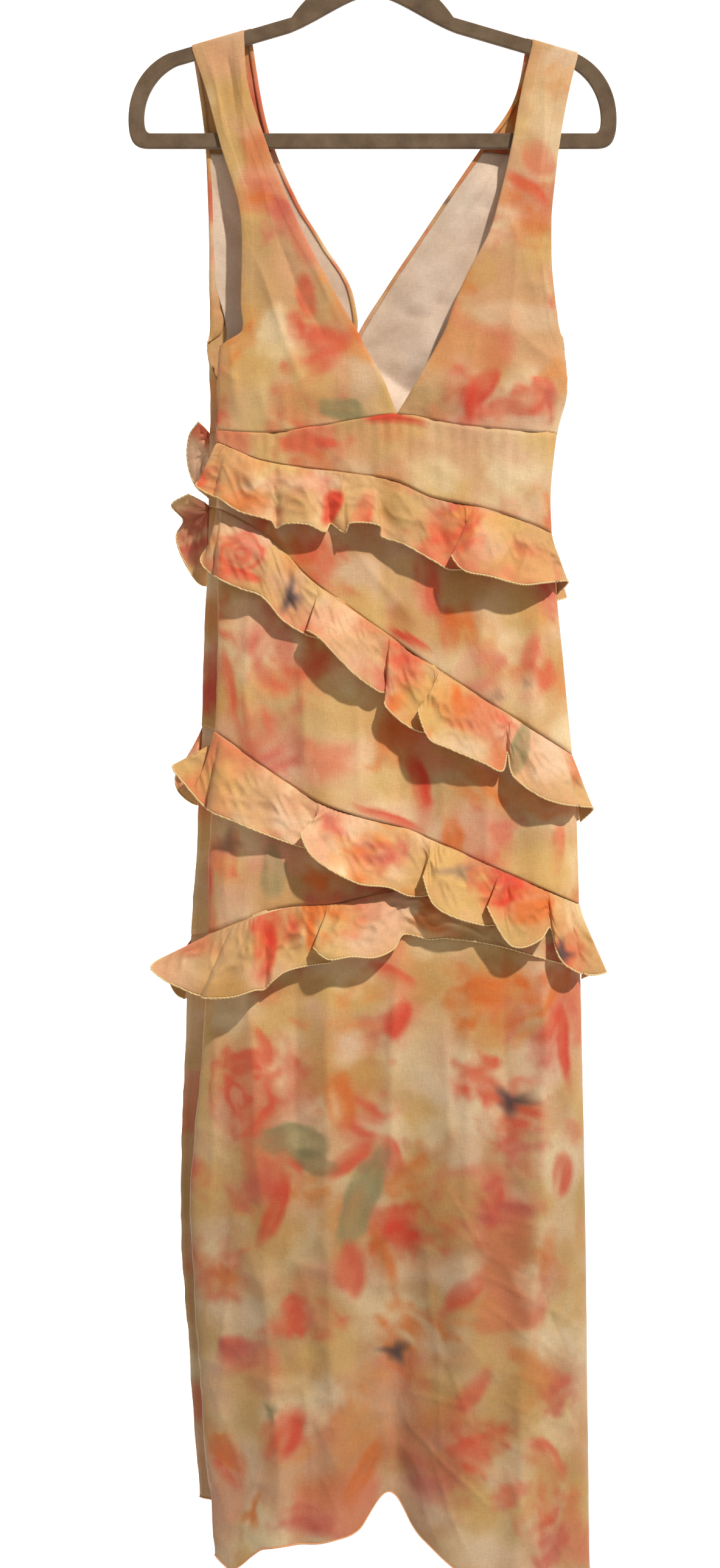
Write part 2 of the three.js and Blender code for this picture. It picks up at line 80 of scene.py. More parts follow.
BODY = table("z left right back_left front back", """
    -115 -220 220 -222 4.8 4.8; -230 -172 190 -178 9 9; -311 -150 176 -160 15 13; -402 -139 174 -151 20 17
    -450 -143 177 -151 23 18; -488 -144 168 -152 18 18; -561 -143 162 -152 19 20; -716 -144 175 -158 25 26
    -833 -149 185 -162 29 30; -1000 -154 189 -173 33 35; -1199 -166 193 -179 38 40; -1378 -156 195 -167 42 44
    -1535 -143 197 -160 45 46
""")
FOLDS = {
    "front": table("x_top x_hem top_height hem_height width", """
    -105 -88 5 9 22; -39 -32 4 6 18; 38 16 -4 -38 28; 98 84 4 10 30; 153 128 5 9 18
    """),
    "back": table("x_top x_hem top_height hem_height width", """
    -110 -120 5 10 26; -50 -62 -4 -14 24; 12 8 5 12 28; 80 88 -4 -16 24; 140 142 4 9 22
    """),
}
SEAMS = [
    table("x z", "-144 -488; -95 -491; -42 -484; 22 -475; 78 -484; 131 -489; 168 -491"),
    table("x z", "-144 -497; -99 -516; -15 -529; 20 -535; 54 -550; 97 -559; 131 -569; 162 -581"),
    table("x z", "-144 -556; -95 -585; -57 -623; -15 -654; 51 -701; 104 -735; 180 -782"),
    table("x z", "-149 -757; -96 -795; -51 -824; -14 -838; 31 -850; 105 -882; 185 -917"),
    table("x z", "-154 -947; -83 -921; -34 -916; 17 -905; 60 -905; 105 -910; 185 -926"),
]
HEMS = {
    "front": table("x z", """
    -160 -1490; -128 -1516; -97 -1492; -50 -1488; -12 -1480; 14 -1450; 44 -1486; 88 -1517; 150 -1531; 200 -1520
    """),
    "back": table("x z", "-180 -1462; -120 -1468; -60 -1464; 10 -1470; 90 -1464; 200 -1472"),
}
BODICE = {
    "front_left": table("z outer inner", """
    -138 -165 -118; -180 -151 -114; -230 -137.5 -97; -279 -122 -78; -311 -118 -63; -375 -119 -29; -398 -118 -16
    -406 -129 -12; -414 -142 -8.5; -450 -145 9; -488 -146 21.6
    """),
    "front_right": table("z outer inner", """
    -138 187 147; -185 176.5 135.5; -230 169 127; -284 163 114; -311 162 105.5; -344 163 88; -376 167 74
    -398 171 66.5; -414 179 59; -450 179 41; -488 170 22.4
    """),
    "back_left": table("z outer inner", """
    -138 -164 -112; -215 -153 -96; -275 -150 -70; -318 -149 -43; -350 -149 -22; -380 -148 -14.4
    -398 -148.5 -14.4; -414 -153 -14.4; -488 -154 -14.4
    """),
    "back_right": table("z outer inner", """
    -138 182 142; -190 174 129; -236 168 96; -279 163 65; -353 161 14; -398 168 -13.6; -414 179 -13.6
    -488 170 -13.6
    """),
}
# Where each front flounce's cloth is sewn on (top), and where its edge hangs: across, height, and how far it stands
# out. The edge runs back on itself where the cloth lies in a fold.
FLOUNCES = [
    table("top x z out", """
    -150 -152 -528 3; -148 -158 -534 10; -142 -160 -539 13; -130 -139 -551 15; -114 -120 -563 13
    -94 -91 -572 12; -88 -87 -578 9; -80 -79 -575 16; -62 -58 -576 19; -48 -43 -582 14; -41 -38 -574 6
    -30 -25 -583 15; -24 -20 -575 20; 0 6 -577 18; 6 8 -586 11; 26 27 -593 16; 48 57 -610 17; 62 70 -616 12
    80 94 -612 7; 92 71 -604 22; 100 81 -618 28; 118 104 -623 26; 138 134 -630 21; 150 155 -628 20
    160 177 -625 13; 164 168 -636 3
    """),
    table("top x z out", """
    -150 -150 -592 2; -144 -156 -607 10; -135 -139 -623 15; -120 -119 -633 17; -104 -100 -640 15
    -86 -80 -662 12; -68 -58 -675 10; -54 -42 -678 5; -47 -59 -671 19; -39 -47 -679 25; -14 -18 -709 21
    4 6 -726 13; 12 13 -727 7; 17 11 -738 16; 28 27 -754 18; 42 44 -762 14; 54 60 -760 6; 62 41 -742 22
    68 50 -768 27; 78 68 -777 24; 100 99 -790 19; 113 116 -797 14; 121 121 -780 8; 127 125 -801 20
    144 148 -819 22; 160 167 -826 22; 174 189 -829 20; 180 200 -831 12; 184 189 -843 3
    """),
    table("top x z out", """
    -156 -154 -790 2; -150 -181 -792 12; -147 -168 -811 19; -138 -149 -831 21; -113 -122 -843 17
    -92 -95 -854 14; -72 -67 -864 10; -56 -46 -868 5; -41 -64 -852 20; -34 -54 -873 25; -14 -14 -897 20
    10 14 -901 16; 30 34 -909 13; 44 54 -906 6; 56 45 -891 20; 63 56 -918 25; 92 96 -934 17; 106 114 -932 7
    116 102 -918 20; 123 120 -950 26; 134 133 -954 24; 147 150 -947 18; 155 159 -937 10; 161 165 -960 19
    168 173 -971 22; 178 195 -981 20; 184 212 -979 12; 188 204 -976 3
    """),
    table("top x z out", """
    -160 -160 -975 2; -156 -184 -965 12; -152 -200 -974 22; -146 -188 -985 27; -138 -175 -991 30
    -127 -154 -999 31; -113 -125 -998 28; -104 -105 -992 22; -97 -97 -992 11; -88 -90 -985 16; -74 -78 -976 17
    -58 -54 -970 12; -47 -36 -967 5; -39 -53 -954 20; -33 -40 -964 26; -18 -19 -962 25; 0 2 -963 21
    17 19 -956 12; 26 27 -944 6; 38 39 -945 7; 50 51 -948 5; 66 66 -947 4; 100 105 -952 4; 140 142 -962 3
    188 187 -975 2
    """),
]


def lerp(a, b, t):
    return a + (b - a) * t


def ease(start, end, value):
    t = np.clip((value - start) / (end - start), 0, 1)
    return t * t * (3 - 2 * t)


def bell(value, width):
    return np.exp(-((value / width) ** 2))


def unit(vectors):
    return vectors / np.maximum(1e-9, np.linalg.norm(vectors, axis=-1, keepdims=True))


def run_along(line):
    """The distance run along a line of points at each of them."""
    return np.concatenate([[0], np.cumsum(np.linalg.norm(np.diff(line, axis=0), axis=1))])


def curve(xs, ys, at):
    """A smooth curve through a table's points, read at any places."""
    if xs[0] > xs[-1]:
        xs, ys = xs[::-1], ys[::-1]
    slope = np.gradient(ys, xs)
    slope[1:-1] = (ys[2:] - ys[:-2]) / (xs[2:] - xs[:-2])
    at = np.clip(at, xs[0], xs[-1])
    i = np.clip(np.searchsorted(xs, at, side="right") - 1, 0, len(xs) - 2)
    step = xs[i + 1] - xs[i]
    t = (at - xs[i]) / step
    near = (2 * t**3 - 3 * t**2 + 1) * ys[i] + (t**3 - 2 * t**2 + t) * step * slope[i]
    far = (3 * t**2 - 2 * t**3) * ys[i + 1] + (t**3 - t**2) * step * slope[i + 1]
    return near + far


def cloud(u, v, size, seed):
    """Smooth random values from -1 to 1, about size across."""
    grid = np.random.default_rng(seed).uniform(-1, 1, (64, 64))
    u, v = u / size + 1000.37, v / size + 1000.71
    i, j = np.floor(u).astype(int), np.floor(v).astype(int)
    s, t = ease(0, 1, u - i), ease(0, 1, v - j)
    corner = lambda a, b: grid[(i + a) % 64, (j + b) % 64]
    return lerp(lerp(corner(0, 0), corner(1, 0), s), lerp(corner(0, 1), corner(1, 1), s), t)


# ---------- the tube ----------
OUT = {"front": -1, "back": 1}  # which way y runs outwards
LEFT_EDGE = {"front": "left", "back": "back_left"}


def body(key, z):
    return curve(BODY["z"], BODY[key], z)


def fold_height(side, x, z):
    """How far the standing folds move the cloth outwards."""
    down = np.maximum(0, (z - SKIRT_TOP) / (HEM - SKIRT_TOP))
    upper = ease(-560, SKIRT_TOP, z)
    total = 0
    for x_top, x_hem, top_height, hem_height, width in zip(*FOLDS[side].values()):
        centre = lerp(x_top, x_hem, down)
        total = total + lerp(top_height, hem_height, down**2) * upper * bell(x - centre, width)
    return total


def section(side, angle, z):
    """x and y of the tube at an angle round it, from -90 degrees at the left side seam to 90 at the right one."""
    edge_left, left, right = body("left", z), body(LEFT_EDGE[side], z), body("right", z)
    drawn_in = (edge_left + TUCK - left) * bell(angle + np.pi / 2, 0.09) * ease(-412, -470, z)
    x = (left + right) / 2 + (right - left) / 2 * np.sin(angle) + drawn_in
    level = np.maximum(0, np.cos(angle))
    depth = body(side, z) * level**0.45 + fold_height(side, x, z) * np.minimum(1, 1.6 * level)
    return x, OUT[side] * (GAP / 2 + depth)


def angle_at(side, x, z):
    left, right = body(LEFT_EDGE[side], z), body("right", z)
    return np.arcsin(np.clip((2 * x - left - right) / (right - left), -1, 1))


def seam_height(index, side, x):
    if index == len(SEAMS):
        return curve(HEMS[side]["x"], HEMS[side]["z"], x)
    rows = SEAMS[index]
    if index or side == "front":
        return curve(rows["x"], rows["z"], x)
    share = np.clip((x - rows["x"][0]) / (rows["x"][-1] - rows["x"][0]), 0, 1)
    return lerp(rows["z"][0], rows["z"][-1], share) + 3 * np.sin(np.pi * share)


def height_at(index, side, angle):
    z = np.full_like(angle, SEAMS[index]["z"][3] if index < len(SEAMS) else HEM)
    for _ in range(4):
        z = seam_height(index, side, section(side, angle, z)[0])
    return z


def outward(side, angle, z):
    step = 0.004
    ax, ay = section(side, np.maximum(-np.pi / 2, angle - step), z)
    bx, by = section(side, np.minimum(np.pi / 2, angle + step), z)
    return unit(np.stack([by - ay, ax - bx, np.zeros_like(ax)], -1) * -OUT[side])


# ---------- creases ----------
# Creases and long folds, each a straight ridge with a crisp crest: both ends, height and half width. A negative
# height is a valley.
CREASES = {
    "skirt_front": """
    -112 -960 -100 -1214 3.2 13; -100 -1214 -80 -1500 3.4 13; -70 -975 -66 -1180 -1.8 10
    -40 -950 -40 -1226 2.6 12; -42 -1216 -34 -1400 2 12; -14 -1250 -8 -1480 -1.6 12; 24 -950 12 -1188 4.2 11
    12 -1180 4 -1340 4.4 12; 6 -1330 14 -1470 3.6 12; 88 -960 84 -1240 2.2 16; 154 -950 151 -1190 3.4 12
    151 -1180 133 -1330 3 12; 133 -1320 127 -1520 3 13; 120 -980 118 -1180 -1.6 12; -132 -1240 -138 -1420 1.4 10
    60 -1166 106 -1230 1.5 2.4; 82 -1240 196 -1304 1.7 2.6; 88 -1266 144 -1306 1.2 2.4
    138 -1298 186 -1334 1.4 2.6; 66 -1326 98 -1414 1.5 2.9; 28 -1356 96 -1366 1.6 2.4
    32 -1386 112 -1464 1.5 2.9; 50 -1398 86 -1504 1.7 3.2; 126 -1366 176 -1444 1.6 2.6
    118 -1408 152 -1524 1.7 3.2; 148 -1240 178 -1336 -1.4 3.2; 56 -1186 190 -1216 1.1 2.6
    100 -1330 186 -1352 1 2.6; -148 -1336 -116 -1444 1.3 2.6; -122 -1176 -136 -1336 1.2 3.2
    -66 -1286 -52 -1486 1.4 4; 46 -1196 66 -1446 1.5 5; -120 -1500 -100 -1400 1.2 3.2; 66 -1200 150 -1262 1 2.2
    96 -1230 192 -1262 1 2.2; 70 -1290 120 -1350 1.1 2.4; 104 -1352 190 -1392 1.1 2.4; 40 -1420 60 -1500 1.2 2.6
    74 -1372 148 -1412 1.1 2.2; 140 -1450 186 -1520 1.2 2.6; 160 -1340 190 -1420 1.2 2.6
    -70 -1180 -84 -1290 0.9 2.6; -30 -1260 -60 -1300 0.9 2.2; -50 -1420 -20 -1480 1 2.6
    -140 -1300 -110 -1330 0.9 2.2; 64 -1000 70 -1170 1.4 9; -140 -1000 -146 -1200 1.6 9
    """,
    "skirt_back": """
    -108 -980 -112 -1260 3 13; -112 -1250 -122 -1470 3 13; -30 -960 -34 -1310 2.6 12; 14 -950 8 -1420 3.4 13
    60 -980 66 -1370 2.2 12; 118 -970 120 -1290 3 13; 120 -1280 128 -1470 3 13; -70 -960 -84 -1460 -2.2 14
    -92 -1276 -28 -1334 1.4 5; 18 -1256 112 -1314 1.5 5; -152 -1336 -88 -1404 1.3 5; 30 -1380 90 -1420 1.2 5
    """,
    "bodice_front_left": """
    -112 -320 -58 -466 2.2 10; -96 -290 -38 -424 -1.8 10; -60 -320 -20 -420 1.2 5; -138 -430 -120 -443 1.8 4.5
    -128 -400 -122 -478 1.8 8; -32 -436 -22 -482 1.6 5; -82 -446 -76 -492 1.7 6; -100 -430 -96 -490 1.2 5
    -156 -132 -128 -235 2.6 6; -138 -128 -120 -210 -2.4 5; -126 -140 -108 -270 1.8 6; -116 -220 -84 -330 1.2 6
    """,
    "bodice_front_right": """
    110 -456 106 -492 1.8 5; 128 -438 176 -452 1.7 4.5; 120 -392 170 -432 1.4 7; 92 -396 84 -490 1.7 8
    70 -436 64 -486 1.5 5.5; 52 -446 50 -488 1.2 5; 150 -310 160 -404 1.3 7; 134 -300 120 -420 1.2 9
    160 -150 150 -290 1 8
    """,
    "bodice_back_right": """
    152 -190 60 -334 2.2 9; 142 -250 40 -404 2.2 9; 122 -320 20 -454 -1.8 9; 76 -390 46 -474 1.6 5.5
    92 -375 66 -468 1.5 6
    """,
    "bodice_back_left": """
    -130 -190 -80 -334 1.8 8; -142 -270 -60 -424 1.9 9; -112 -390 -60 -474 1.6 8; -120 -130 -118 -230 1.6 7
    """,
    "waist_front": """
    -60 -490 -10 -530 1 6; 20 -480 24 -540 1.4 6; 60 -486 64 -550 1 6; 100 -500 160 -560 0.9 6
    """,
    "hip_front": """
    -24 -590 44 -666 1.5 8; 56 -568 154 -626 1.4 8; 100 -590 96 -720 1.6 9; 152 -626 140 -764 1.6 9
    -90 -560 -30 -600 1.2 7; 20 -560 16 -660 1.2 8
    """,
    "thigh_front": """
    -110 -620 -114 -790 2.2 10; -66 -650 -60 -820 2.4 11; -16 -690 -10 -840 2 10; 20 -720 24 -850 -1.4 9
    60 -730 62 -870 2 10; 100 -750 102 -890 2.4 10; 138 -790 176 -890 1.4 8; -130 -700 -90 -740 1 6
    """,
    "wedge_front": """
    -128 -790 -132 -940 2 9; -96 -820 -92 -930 2 8; -50 -850 -44 -915 1.6 8
    """,
}


def creases(piece, x, z):
    total = 0
    for row in text_rows(CREASES.get(piece, "")):
        x0, z0, x1, z1, height, width = map(float, row)
        dx, dz = x1 - x0, z1 - z0
        length = math.hypot(dx, dz)
        along = ((x - x0) * dx + (z - z0) * dz) / length
        off = ((x - x0) * dz - (z - z0) * dx) / length + 3 * cloud(x, z, 46, int(abs(x0 * 7 + z0)))
        fade = ease(-0.08 * length, 0.3 * length, along) * ease(1.08 * length, 0.7 * length, along)
        # long folds stand higher than fine creases
        crest = np.exp(-np.hypot(off, 0.6) / width) - 0.25 * bell(off, 2.2 * width)
        total = total + (1.9 if width > LONG_FOLD else 1.2) * height * fade * crest
    return total


def crumple(x, z, size, seed):
    """Faint sharp creases all over, as in cloth that was folded and hung without pressing."""
    first = 0.35 - np.abs(cloud(x + 0.4 * z, z * 0.6, size, seed))
    second = 0.35 - np.abs(cloud(x - 0.7 * z, z + 0.3 * x, size * 0.6, seed + 1))
    return first + 0.6 * second


def soft_waves(x, z, size, seed):
    """The slight unevenness of hanging cloth: long upright waves and a little crumple."""
    return 1.9 * cloud(x * 1.8, z * 0.4, size, seed) + 0.5 * cloud(x, z, size * 0.5, seed + 1)


def gathers(x, from_seam, reach, seed):
    """Small puckers that fade away from a gathered seam."""
    pucker = np.sin(x / 1.9 + 2.4 * cloud(x, from_seam * 0.3, 26, seed)) * (0.65 + 0.5 * cloud(x, 0 * x, 17, seed + 2))
    return pucker * np.exp(-np.abs(from_seam) / reach) * lerp(0.2, 1, ease(0, 0.4 * reach, np.abs(from_seam)))


# ---------- the print ----------
# Dyes of the blurred flower print, as sRGB hex.
DYES = {
    "ground": "#D8AE82",
    "peach": "#DFA983",
    "blush": "#E2B496",
    "cream": "#F4E2BC",
    "pale": "#EED6BC",
    "butter": "#DDB976",
    "ochre": "#CFA363",
    "orange": "#DE7434",
    "apricot": "#E29A5C",
    "coral": "#E05F44",
    "rose": "#D4685A",
    "red": "#DC4430",
    "olive": "#A89A5C",
    "leaf": "#969269",
    "moss": "#77724F",
    "slate": "#54464A",
    "smoke": "#A08670",
}
# Clouds of dye that make up the ground: dye, size across, place in the seeds, most that it covers.
GROUND_CLOUDS = (
    ("cream", 62, 5, 0.8),
    ("blush", 50, 6, 0.55),
    ("butter", 74, 7, 0.7),
    ("pale", 33, 8, 0.6),
    ("ochre", 40, 9, 0.55),
    ("peach", 27, 10, 0.45),
    ("olive", 48, 11, 0.22),
)
# The main flowers, leaves and flower centres, roughly where they fall on each piece. The rest is scattered.
# Each row: kind, centre across and up, half width and half height, turn in degrees, dye, strength.
PRINT = {
    "bodice_front_right": """
    bloom 90 -460 25 25 0 red .8; petal 100 -450 10 20 -20 red .7; bloom 170 -460 10 20 0 rose .8
    petal 120 -470 20 10 10 coral .5
    """,
    "bodice_front_left": """
    bloom -100 -270 15 10 10 orange .8; petal -60 -370 10 20 10 red .7; bloom -50 -410 25 20 0 coral .8
    petal -70 -400 10 15 0 red .6; petal -50 -430 15 10 20 coral .6; leaf -30 -470 20 10 -10 leaf .8
    """,
    "waist_front": "petal 20 -480 30 5 -10 red .9; bloom -50 -500 30 15 0 coral .9",
    "flounce_1_front": "petal -40 -560 10 15 -10 red .9",
    "hip_front": """
    bloom -50 -600 20 20 0 coral .9; petal 50 -630 15 30 10 coral .8; petal 30 -680 20 5 -30 red .9
    bloom 80 -660 20 20 0 orange .8; spot 110 -730 10 5 0 smoke .7; spot 140 -720 5 5 0 smoke .6
    """,
    "flounce_2_front": """
    rose -120 -600 25 20 0 coral .8; petal -120 -620 20 5 -10 red .7; spot -70 -640 10 15 20 slate .9
    bloom 70 -740 20 20 0 orange .9; leaf 130 -780 10 25 -20 leaf .9
    """,
    "thigh_front": """
    petal -140 -720 10 35 10 coral .8; bloom 20 -770 25 25 0 orange .8; petal 40 -810 10 25 10 red .9
    petal 10 -840 30 5 -20 red .8; petal 70 -860 10 20 10 orange .8
    """,
    "flounce_3_front": """
    bloom 10 -870 25 15 0 rose .9; spot 80 -890 15 10 0 smoke .8; bloom 120 -900 25 20 10 red .9
    bloom 140 -920 25 20 0 orange .9; spot 170 -960 10 10 10 slate .9
    """,
    "wedge_front": "spot -140 -860 15 10 0 smoke .8; leaf -90 -890 10 25 0 leaf .7",
    "flounce_4_front": """
    bloom -90 -940 20 20 0 red .9; petal -100 -960 10 25 0 red .7; bloom -60 -940 15 20 0 orange .9
    """,
    "skirt_front": """
    rose -120 -1090 35 40 0 coral .9; petal -120 -1060 20 10 10 coral .8; petal -30 -1090 15 25 10 orange .8
    leaf -70 -1130 35 15 -10 leaf .8; leaf -50 -1150 20 10 -20 moss .5; leaf -10 -1180 15 45 -20 leaf .8
    petal -90 -1190 10 35 -20 red .8; bloom 30 -1210 30 25 0 red .9; petal 10 -1230 10 25 20 orange .8
    petal 20 -1020 10 15 -20 red .8; bloom 110 -990 35 20 -10 orange .9; petal 160 -1030 10 20 -20 coral .8
    petal 180 -1040 10 35 10 red .8; spot 130 -1090 15 10 0 slate .9; petal 180 -1160 15 20 -10 coral .8
    bloom 120 -1190 30 25 0 rose .9; petal -20 -1240 15 25 0 coral .8; bloom -60 -1290 30 20 0 coral .9
    petal -120 -1320 25 15 20 rose .9; spot -90 -1370 5 10 0 moss .6; petal -80 -1390 15 25 -20 red .8
    spot -110 -1460 10 15 0 orange .8; bloom -60 -1470 25 15 0 rose .9; petal -10 -1430 10 30 -30 orange .8
    spot 20 -1320 10 10 20 slate .9; bloom 90 -1400 35 25 0 coral .9
    """,
}

# What is scattered, in turn: the whole print, or only what lies under the main flowers.
FULL_MIX = (
    "wash cream; wash butter; wash blush; bloom coral; petal red; wash ochre; wash pale; bloom orange; leaf leaf; "
    "spot slate; petal coral; wash apricot; bloom rose; wash butter; petal coral; wash cream; bloom coral; wash blush"
)
SOFT_MIX = (
    "wash cream; bloom rose; wash pale; wash butter; bloom apricot; petal coral; "
    "wash cream; wash ochre; bloom coral; wash blush; bloom orange; wash butter"
)
# half width and half height of a scattered motif
MOTIF_SIZE = {"wash": (24, 22), "bloom": (28, 24), "petal": (8, 22), "leaf": (12, 28), "spot": (10, 10)}


def scattered_print(seed, x_range, z_range, flowers=True):
    """Rows of the same flower print in seeded places; with flowers=False only its washes and small strokes."""
    rng = np.random.default_rng(seed)
    kinds = [kind.split() for kind in (FULL_MIX if flowers else SOFT_MIX).split("; ")]
    area = (x_range[1] - x_range[0]) * (z_range[1] - z_range[0])
    rows = []
    room = 1300 if flowers else 1500  # cloth to each motif, in square millimetres
    for i in range(int(area / room)):
        kind, dye = kinds[i % len(kinds)]
        wide, high = MOTIF_SIZE[kind]
        grow = rng.uniform(0.7, 1.25)
        cx, cz, turn = rng.uniform(*x_range), rng.uniform(*z_range), rng.uniform(-60, 60)
        rows.append((kind, cx, cz, wide * grow, high * grow, turn, dye, rng.uniform(0.6, 0.9)))
    return rows


def printed_rows(name, x_range, z_range, seed):
    """The print of one piece: scattered washes, with its main flowers over them where it has fixed ones."""
    if name not in PRINT:
        return scattered_print(seed, x_range, z_range)
    flowers = [(row[0], *map(float, row[1:6]), row[6], float(row[7])) for row in text_rows(PRINT[name])]
    return scattered_print(seed, x_range, z_range, flowers=False) + flowers


def dyed(x, z, rows, seed):
    """The print's colour at each place on the cloth: soft washes, petals, roses, leaves and dark flower centres, with
    painted shade that darkens it towards the hem.
    """
    wide = 5 * cloud(x, z, 44, seed) + 1.6 * cloud(x, z, 19, seed + 1)
    tall = 5 * cloud(x, z, 44, seed + 2) + 1.6 * cloud(x, z, 19, seed + 3)
    ground = np.zeros(x.shape + (3,)) + hex_floats(DYES["ground"])
    for dye, size, shift, most in GROUND_CLOUDS:
        amount = ease(0.0, 0.7, cloud(x + wide, z + tall, size, seed + shift))[..., None] * most
        ground = lerp(ground, hex_floats(DYES[dye]), amount)
    stain = ease(0.22, 0.7, cloud(x + 2 * wide, z + tall, 42, seed + 12))[..., None]
    ground = lerp(ground, hex_floats(DYES["coral"]), 0.45 * stain)
    for kind, cx, cz, wx, wz, turn, dye, strength in rows:
        a = math.radians(turn)
        px, pz = x + wide - cx, z + tall - cz
        u = (px * math.cos(a) + pz * math.sin(a)) / wx
        v = (pz * math.cos(a) - px * math.sin(a)) / wz
        own = int(abs(cx * 13 + cz * 7)) % 9973
        long, short = (u * wx, v * wz) if wx > wz else (v * wz, u * wx)
        streak = cloud(long / 4, short, 6.5, own)
        ragged_by = cloud(px, pz, 13, own + 2) + 0.5 * cloud(px, pz, 6, own + 5)
        r = np.maximum(0, np.hypot(u, v) + 0.14 * ragged_by)
        theta = np.arctan2(v, u)
        edge = u if wx < wz else v
        if kind == "wash":
            amount = ease(1.5, 0.35, r + 0.15 * ragged_by) * (0.92 + 0.16 * streak)
        elif kind == "petal":
            # dark along one long edge, and thinning out to the other
            amount = ease(1.3, 0.6, r) * (0.78 + 0.36 * edge + 0.32 * streak)
        elif kind == "leaf":
            amount = ease(1.2, 0.75, r) * (0.68 + 0.34 * np.abs(edge) + 0.3 * streak)
        elif kind == "bloom":
            # a blurred flower: uneven edge, deeper strokes of colour within
            ragged = r + 0.3 * ragged_by + 0.14 * streak
            amount = ease(1.3, 0.35, ragged) * (0.66 + 0.5 * cloud(long / 2, short * 1.6, 12, own + 3) + 0.24 * streak)
        elif kind == "rose":
            amount = 0.55 * np.exp(-1.2 * r**3)
            for ring in range(5):
                reach, start = 0.14 + 0.19 * ring, own * 0.7 + ring * 2.3
                window = ease(0.15, 0.85, 0.5 + 0.5 * np.cos(theta - start))
                path = r + 0.12 * np.sin(theta + start) + 0.1 * cloud(px, pz, 12, own + 4)
                amount = amount + 0.55 * window * bell(path - reach, 0.1) * (1 + 0.5 * streak)
        else:
            lobes = 1 + 0.28 * np.cos(3 * theta + own) + 0.18 * np.cos(5 * theta + 2 * own)
            amount = ease(1.35, 0.1, r * lobes)
        ground = lerp(ground, hex_floats(DYES[dye]), (strength * np.clip(amount, 0, 1))[..., None])
    # a slight warm tint over the whole print, and painted shade: the print is made darker towards the hem, where less
    # light reaches the lower skirt
    return np.clip(ground * [0.99, 0.965, 0.93] * lerp(1, 0.84, ease(-880, -1250, z))[..., None], 0, 1)


def print_on(name, side, points, x_range, z_range, seed):
    """The dye at each point of a piece of printed cloth."""
    return dyed(across(side, points), points[..., 2], printed_rows(name, x_range, z_range, seed), seed)


def across(side, points):
    """How far across the cloth each point lies: along the front or back, then on round the side of the body."""
    x, y, z = (points[..., i] for i in range(3))
    round_side = np.maximum(0, body(side, z) - np.abs(y)) * ease(80, 130, np.abs(x - MIDDLE))
    return x + np.sign(x - MIDDLE) * round_side


def hex_floats(hex_colour):
    return np.array([int(hex_colour[i : i + 2], 16) for i in (1, 3, 5)]) / 255


def to_linear(colour):
    """An sRGB colour, or many, as linear red, green and blue."""
    return np.where(colour <= 0.04045, colour / 12.92, ((colour + 0.055) / 1.055) ** 2.4)


# ---------- materials ----------
def add(material, kind, links=(), stops=(), **settings):
    """A node with its settings, its links as (input, (node, output)) and a ramp's stops as (place, hex colour)."""
    node = material.node_tree.nodes.new("ShaderNode" + kind)
    for key, value in settings.items():
        if hasattr(node, key):
            setattr(node, key, value)
        else:
            numbered = key[0] == "i" and key[1:].isdigit()
            node.inputs[int(key[1:]) if numbered else key.replace("_", " ")].default_value = value
    while stops and len(node.color_ramp.elements) < len(stops):
        node.color_ramp.elements.new(0.5)
    for i, (place, colour) in enumerate(stops):
        element = node.color_ramp.elements[i]
        element.position = place
        element.color = (*to_linear(hex_floats(colour)), 1)
    for target, (source, output) in links:
        material.node_tree.links.new(source.outputs[output], node.inputs[target])
    return node


def material(name):
    made = bpy.data.materials.new(name)
    made.use_nodes = True
    made.node_tree.nodes.clear()
    return made


def finish_material(made, shader):
    add(made, "OutputMaterial", [("Surface", (shader, "BSDF"))])
    return made


def georgette(name, dye=None, thread=0.9, roughness=0.72, crinkle=0.3):
    """Printed polyester georgette: a light crepe cloth with a dull, slightly pebbled face and a faint sheen."""
    m = material(name)
    at = [("Vector", (add(m, "TexCoord"), "Object"))]
    # crepe yarns are about 0.3 mm apart: drawn three times as coarse, so that they show
    fine, deep, long = (1 / (size * MM) for size in (thread, 2.5, 6))
    over = add(m, "Mapping", at, Scale=(fine, deep, long))
    down = add(m, "Mapping", at, Scale=(long, deep, fine))
    warp = add(m, "TexNoise", [("Vector", (over, "Vector"))], Scale=1, Detail=2, Roughness=0.6)
    weft = add(m, "TexNoise", [("Vector", (down, "Vector"))], Scale=1, Detail=2, Roughness=0.6)
    yarn = add(m, "Math", [(0, (warp, "Fac")), (1, (weft, "Fac"))], operation="ADD")
    pebble = add(m, "TexVoronoi", at, feature="SMOOTH_F1", Scale=1 / (2.2 * MM), Smoothness=0.8)
    tone = add(m, "MapRange", [("Value", (yarn, "Value"))], From_Min=0.7, From_Max=1.3, To_Min=0.9, To_Max=1.07)
    if dye is None:
        ground = add(m, "VertexColor", layer_name="dye")
    else:
        uneven = add(m, "TexNoise", at, Scale=1 / (38 * MM), Detail=3)
        ground = add(m, "ValToRGB", [("Fac", (uneven, "Fac"))], stops=((0.25, dye[0]), (0.75, dye[1])))
    tinted = [(6, (ground, "Color")), (7, (tone, "Result"))]
    grain = add(m, "Mix", tinted, data_type="RGBA", blend_type="MULTIPLY", Factor=1)
    smooth, rough = roughness - 0.07, roughness + 0.1
    wear = add(m, "MapRange", [("Value", (pebble, "Distance"))], From_Min=0, From_Max=0.7, To_Min=smooth, To_Max=rough)
    relief = add(m, "Math", [(0, (yarn, "Value")), (1, (pebble, "Distance"))], operation="ADD")
    bump = add(m, "Bump", [("Height", (relief, "Value"))], Strength=crinkle, Distance=0.35 * MM)
    links = [("Base Color", (grain, 2)), ("Roughness", (wear, "Result")), ("Normal", (bump, "Normal"))]
    sheen = dict(Sheen_Weight=0.18, Sheen_Roughness=0.45)
    return finish_material(m, add(m, "BsdfPrincipled", links, Specular_IOR_Level=0.25, IOR=1.5, **sheen))


